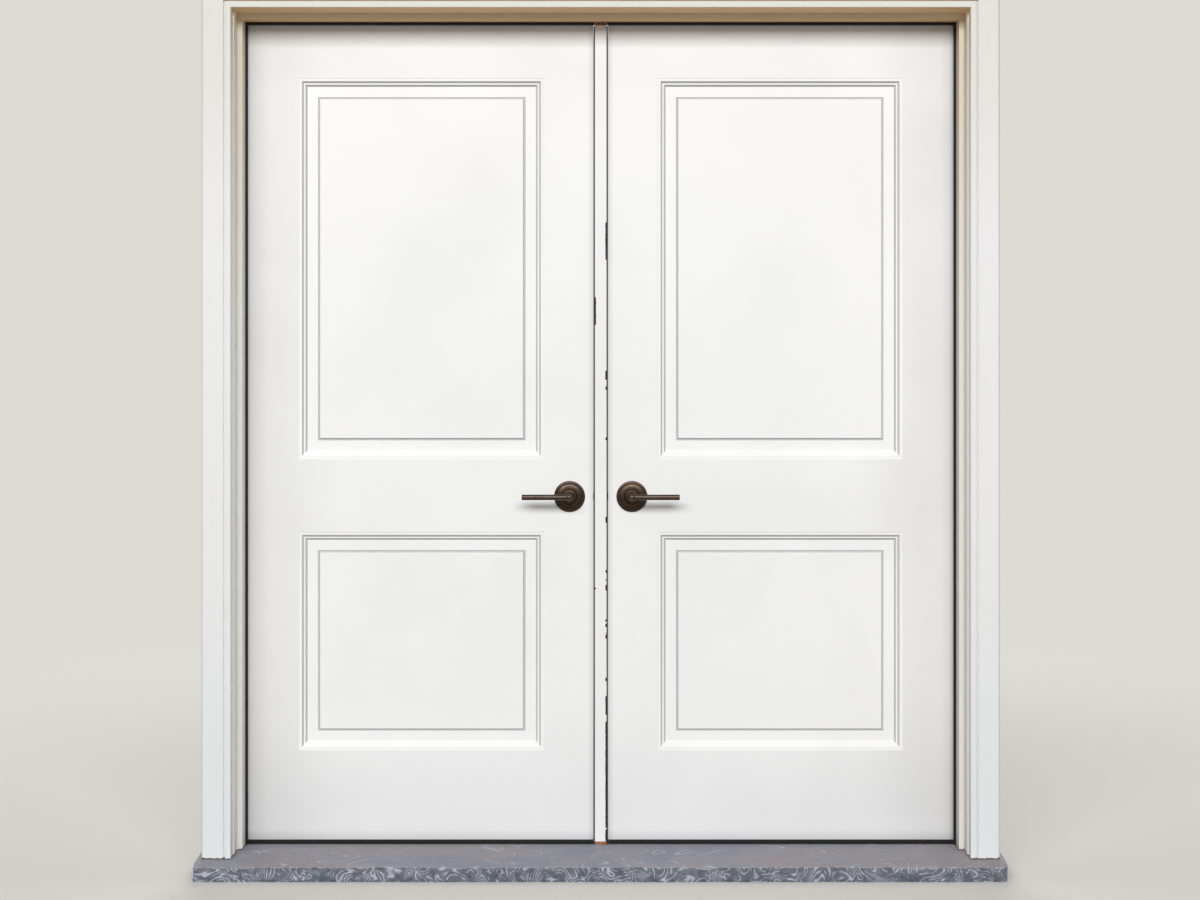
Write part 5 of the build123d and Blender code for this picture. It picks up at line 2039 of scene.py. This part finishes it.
@dataclass
class Studio:
    """The camera, lamps, pale background and floor."""

    camera_place: Point = (0.0, -5.042, 1.187)
    lens: float = 60.41
    sensor: float = 36
    far: float = 100
    shift: Pair = (-0.0006, -0.0417)
    background: Rgb = (222, 218, 212)
    fill: float = 0.22
    key_place: Point = (-1.4, -22.0, 12.2)
    key_aim: Point = (0.0, 0.0, 1.1)
    key_size: Pair = (26.0, 7.5)
    key_watts: float = 5870
    back_place: Point = (0.0, 7.5, 5.2)
    back_size: Pair = (6.0, 2.5)
    back_watts: float = 420
    floor_colour: Rgb = (222, 219, 214)
    floor_bounce: Rgb = (134, 131, 127)
    floor_rough: float = 0.9
    floor_radius: float = 12.0
    floor_steps: int = 96
    fade_start: float = 2.0
    fade_end: float = 5.5

    def camera(self) -> None:
        """Adds the camera at the photograph's place."""
        data = bpy.data.cameras.new("camera")
        data.lens = self.lens
        data.sensor_width = self.sensor
        data.shift_x, data.shift_y = self.shift
        data.clip_end = self.far
        camera = bpy.data.objects.new("camera", data)
        camera.location = self.camera_place
        camera.rotation_euler = (math.pi / 2, 0, 0)
        bpy.context.scene.collection.objects.link(camera)
        bpy.context.scene.camera = camera

    def lamp(self, name: str, place: Point, aim: Point, size: Pair, watts: float) -> None:
        """Adds a soft rectangular lamp.

        Args:
            name: its name.
            place: where it stands.
            aim: the point that it faces.
            size: its width and height.
            watts: its power.
        """
        data = bpy.data.lights.new(name, "AREA")
        data.shape = "RECTANGLE"
        data.size, data.size_y = size
        data.energy = watts
        lamp = bpy.data.objects.new(name, data)
        lamp.location = place
        lamp.rotation_euler = (Vector(aim) - Vector(place)).to_track_quat("-Z", "Y").to_euler()
        bpy.context.scene.collection.objects.link(lamp)

    @staticmethod
    def seen(nodes: bpy.types.Nodes, links: bpy.types.NodeLinks) -> NodeSocket:
        """Finds the rays that show the background: straight from the camera, mirrored or through glass.

        Args:
            nodes: the tree's nodes.
            links: the tree's links.

        Returns:
            1 for those rays and 0 for others.
        """
        path = nodes.new("ShaderNodeLightPath")
        value = path.outputs["Is Camera Ray"]
        for name in ("Is Glossy Ray", "Is Transmission Ray"):
            larger = nodes.new("ShaderNodeMath")
            larger.operation = "MAXIMUM"
            links.new(value, larger.inputs[0])
            links.new(path.outputs[name], larger.inputs[1])
            value = larger.outputs[0]
        return value

    def world(self) -> None:
        """Sets the pale background and the weak fill light from all round."""
        world = bpy.data.worlds.new("studio")
        bpy.context.scene.world = world
        world.use_nodes = True
        nodes, links = world.node_tree.nodes, world.node_tree.links
        fill = nodes["Background"]
        fill.inputs["Color"].default_value = (1, 1, 1, 1)
        fill.inputs["Strength"].default_value = self.fill
        shown = nodes.new("ShaderNodeBackground")
        shown.inputs["Color"].default_value = linear(self.background)
        mixed = nodes.new("ShaderNodeMixShader")
        links.new(self.seen(nodes, links), mixed.inputs["Fac"])
        links.new(fill.outputs[0], mixed.inputs[1])
        links.new(shown.outputs[0], mixed.inputs[2])
        links.new(mixed.outputs[0], nodes["World Output"].inputs["Surface"])

    def floor_material(self) -> Material:
        """Makes the floor pale to the eye, darker to bounced light, and faded out further off.

        Returns:
            The material.
        """
        tree = ShaderTree("studio_floor")
        nodes, links = tree.nodes, tree.links
        seen = self.seen(nodes, links)
        tree.finish(tree.mix(seen, self.floor_bounce, self.floor_colour), self.floor_rough, shine=0.1)
        away = tree.add("ShaderNodeVectorMath", {0: tree.place}, operation="LENGTH").outputs["Value"]
        clear = tree.add("ShaderNodeBsdfTransparent")
        mixed = tree.add("ShaderNodeMixShader", {"Fac": tree.span(away, self.fade_start, self.fade_end)})
        links.new(tree.shader.outputs[0], mixed.inputs[1])
        links.new(clear.outputs[0], mixed.inputs[2])
        links.new(mixed.outputs[0], nodes["Material Output"].inputs["Surface"])
        return tree.material

    def floor(self) -> None:
        """Adds the round floor under the slab."""
        shell = Shell()
        angles = [math.tau * number / self.floor_steps for number in range(self.floor_steps)]
        shell.face(shell.ring([(self.floor_radius * math.cos(a), self.floor_radius * math.sin(a), 0.0)
                               for a in angles]))
        mesh = shell.mesh("studio_floor")
        mesh.materials.append(self.floor_material())
        floor = bpy.data.objects.new("studio_floor", mesh)
        bpy.context.scene.collection.objects.link(floor)

    def build(self) -> None:
        """Sets up the whole studio."""
        self.camera()
        self.world()
        self.floor()
        self.lamp("key_lamp", self.key_place, self.key_aim, self.key_size, self.key_watts)
        self.lamp("back_lamp", self.back_place, self.key_aim, self.back_size, self.back_watts)


def main() -> None:
    """Builds the doorway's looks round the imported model."""
    logging.basicConfig(level=logging.INFO, format="%(name)s: %(message)s")
    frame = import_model()
    bpy.context.scene.view_settings.view_transform = "Standard"
    dresser = CadDresser(frame["nodes"])
    finishes = Finishes()
    Studio().build()
    StoneSill().build(finishes)
    TimberFrame(dresser).build(finishes)
    CentrePost(dresser).build(finishes)
    Hinges(dresser).build(finishes)
    for side in Side:
        Leaf(side, dresser).build(finishes)
        LockSet(side, dresser).build(finishes)


if __name__ == "__main__":
    main()
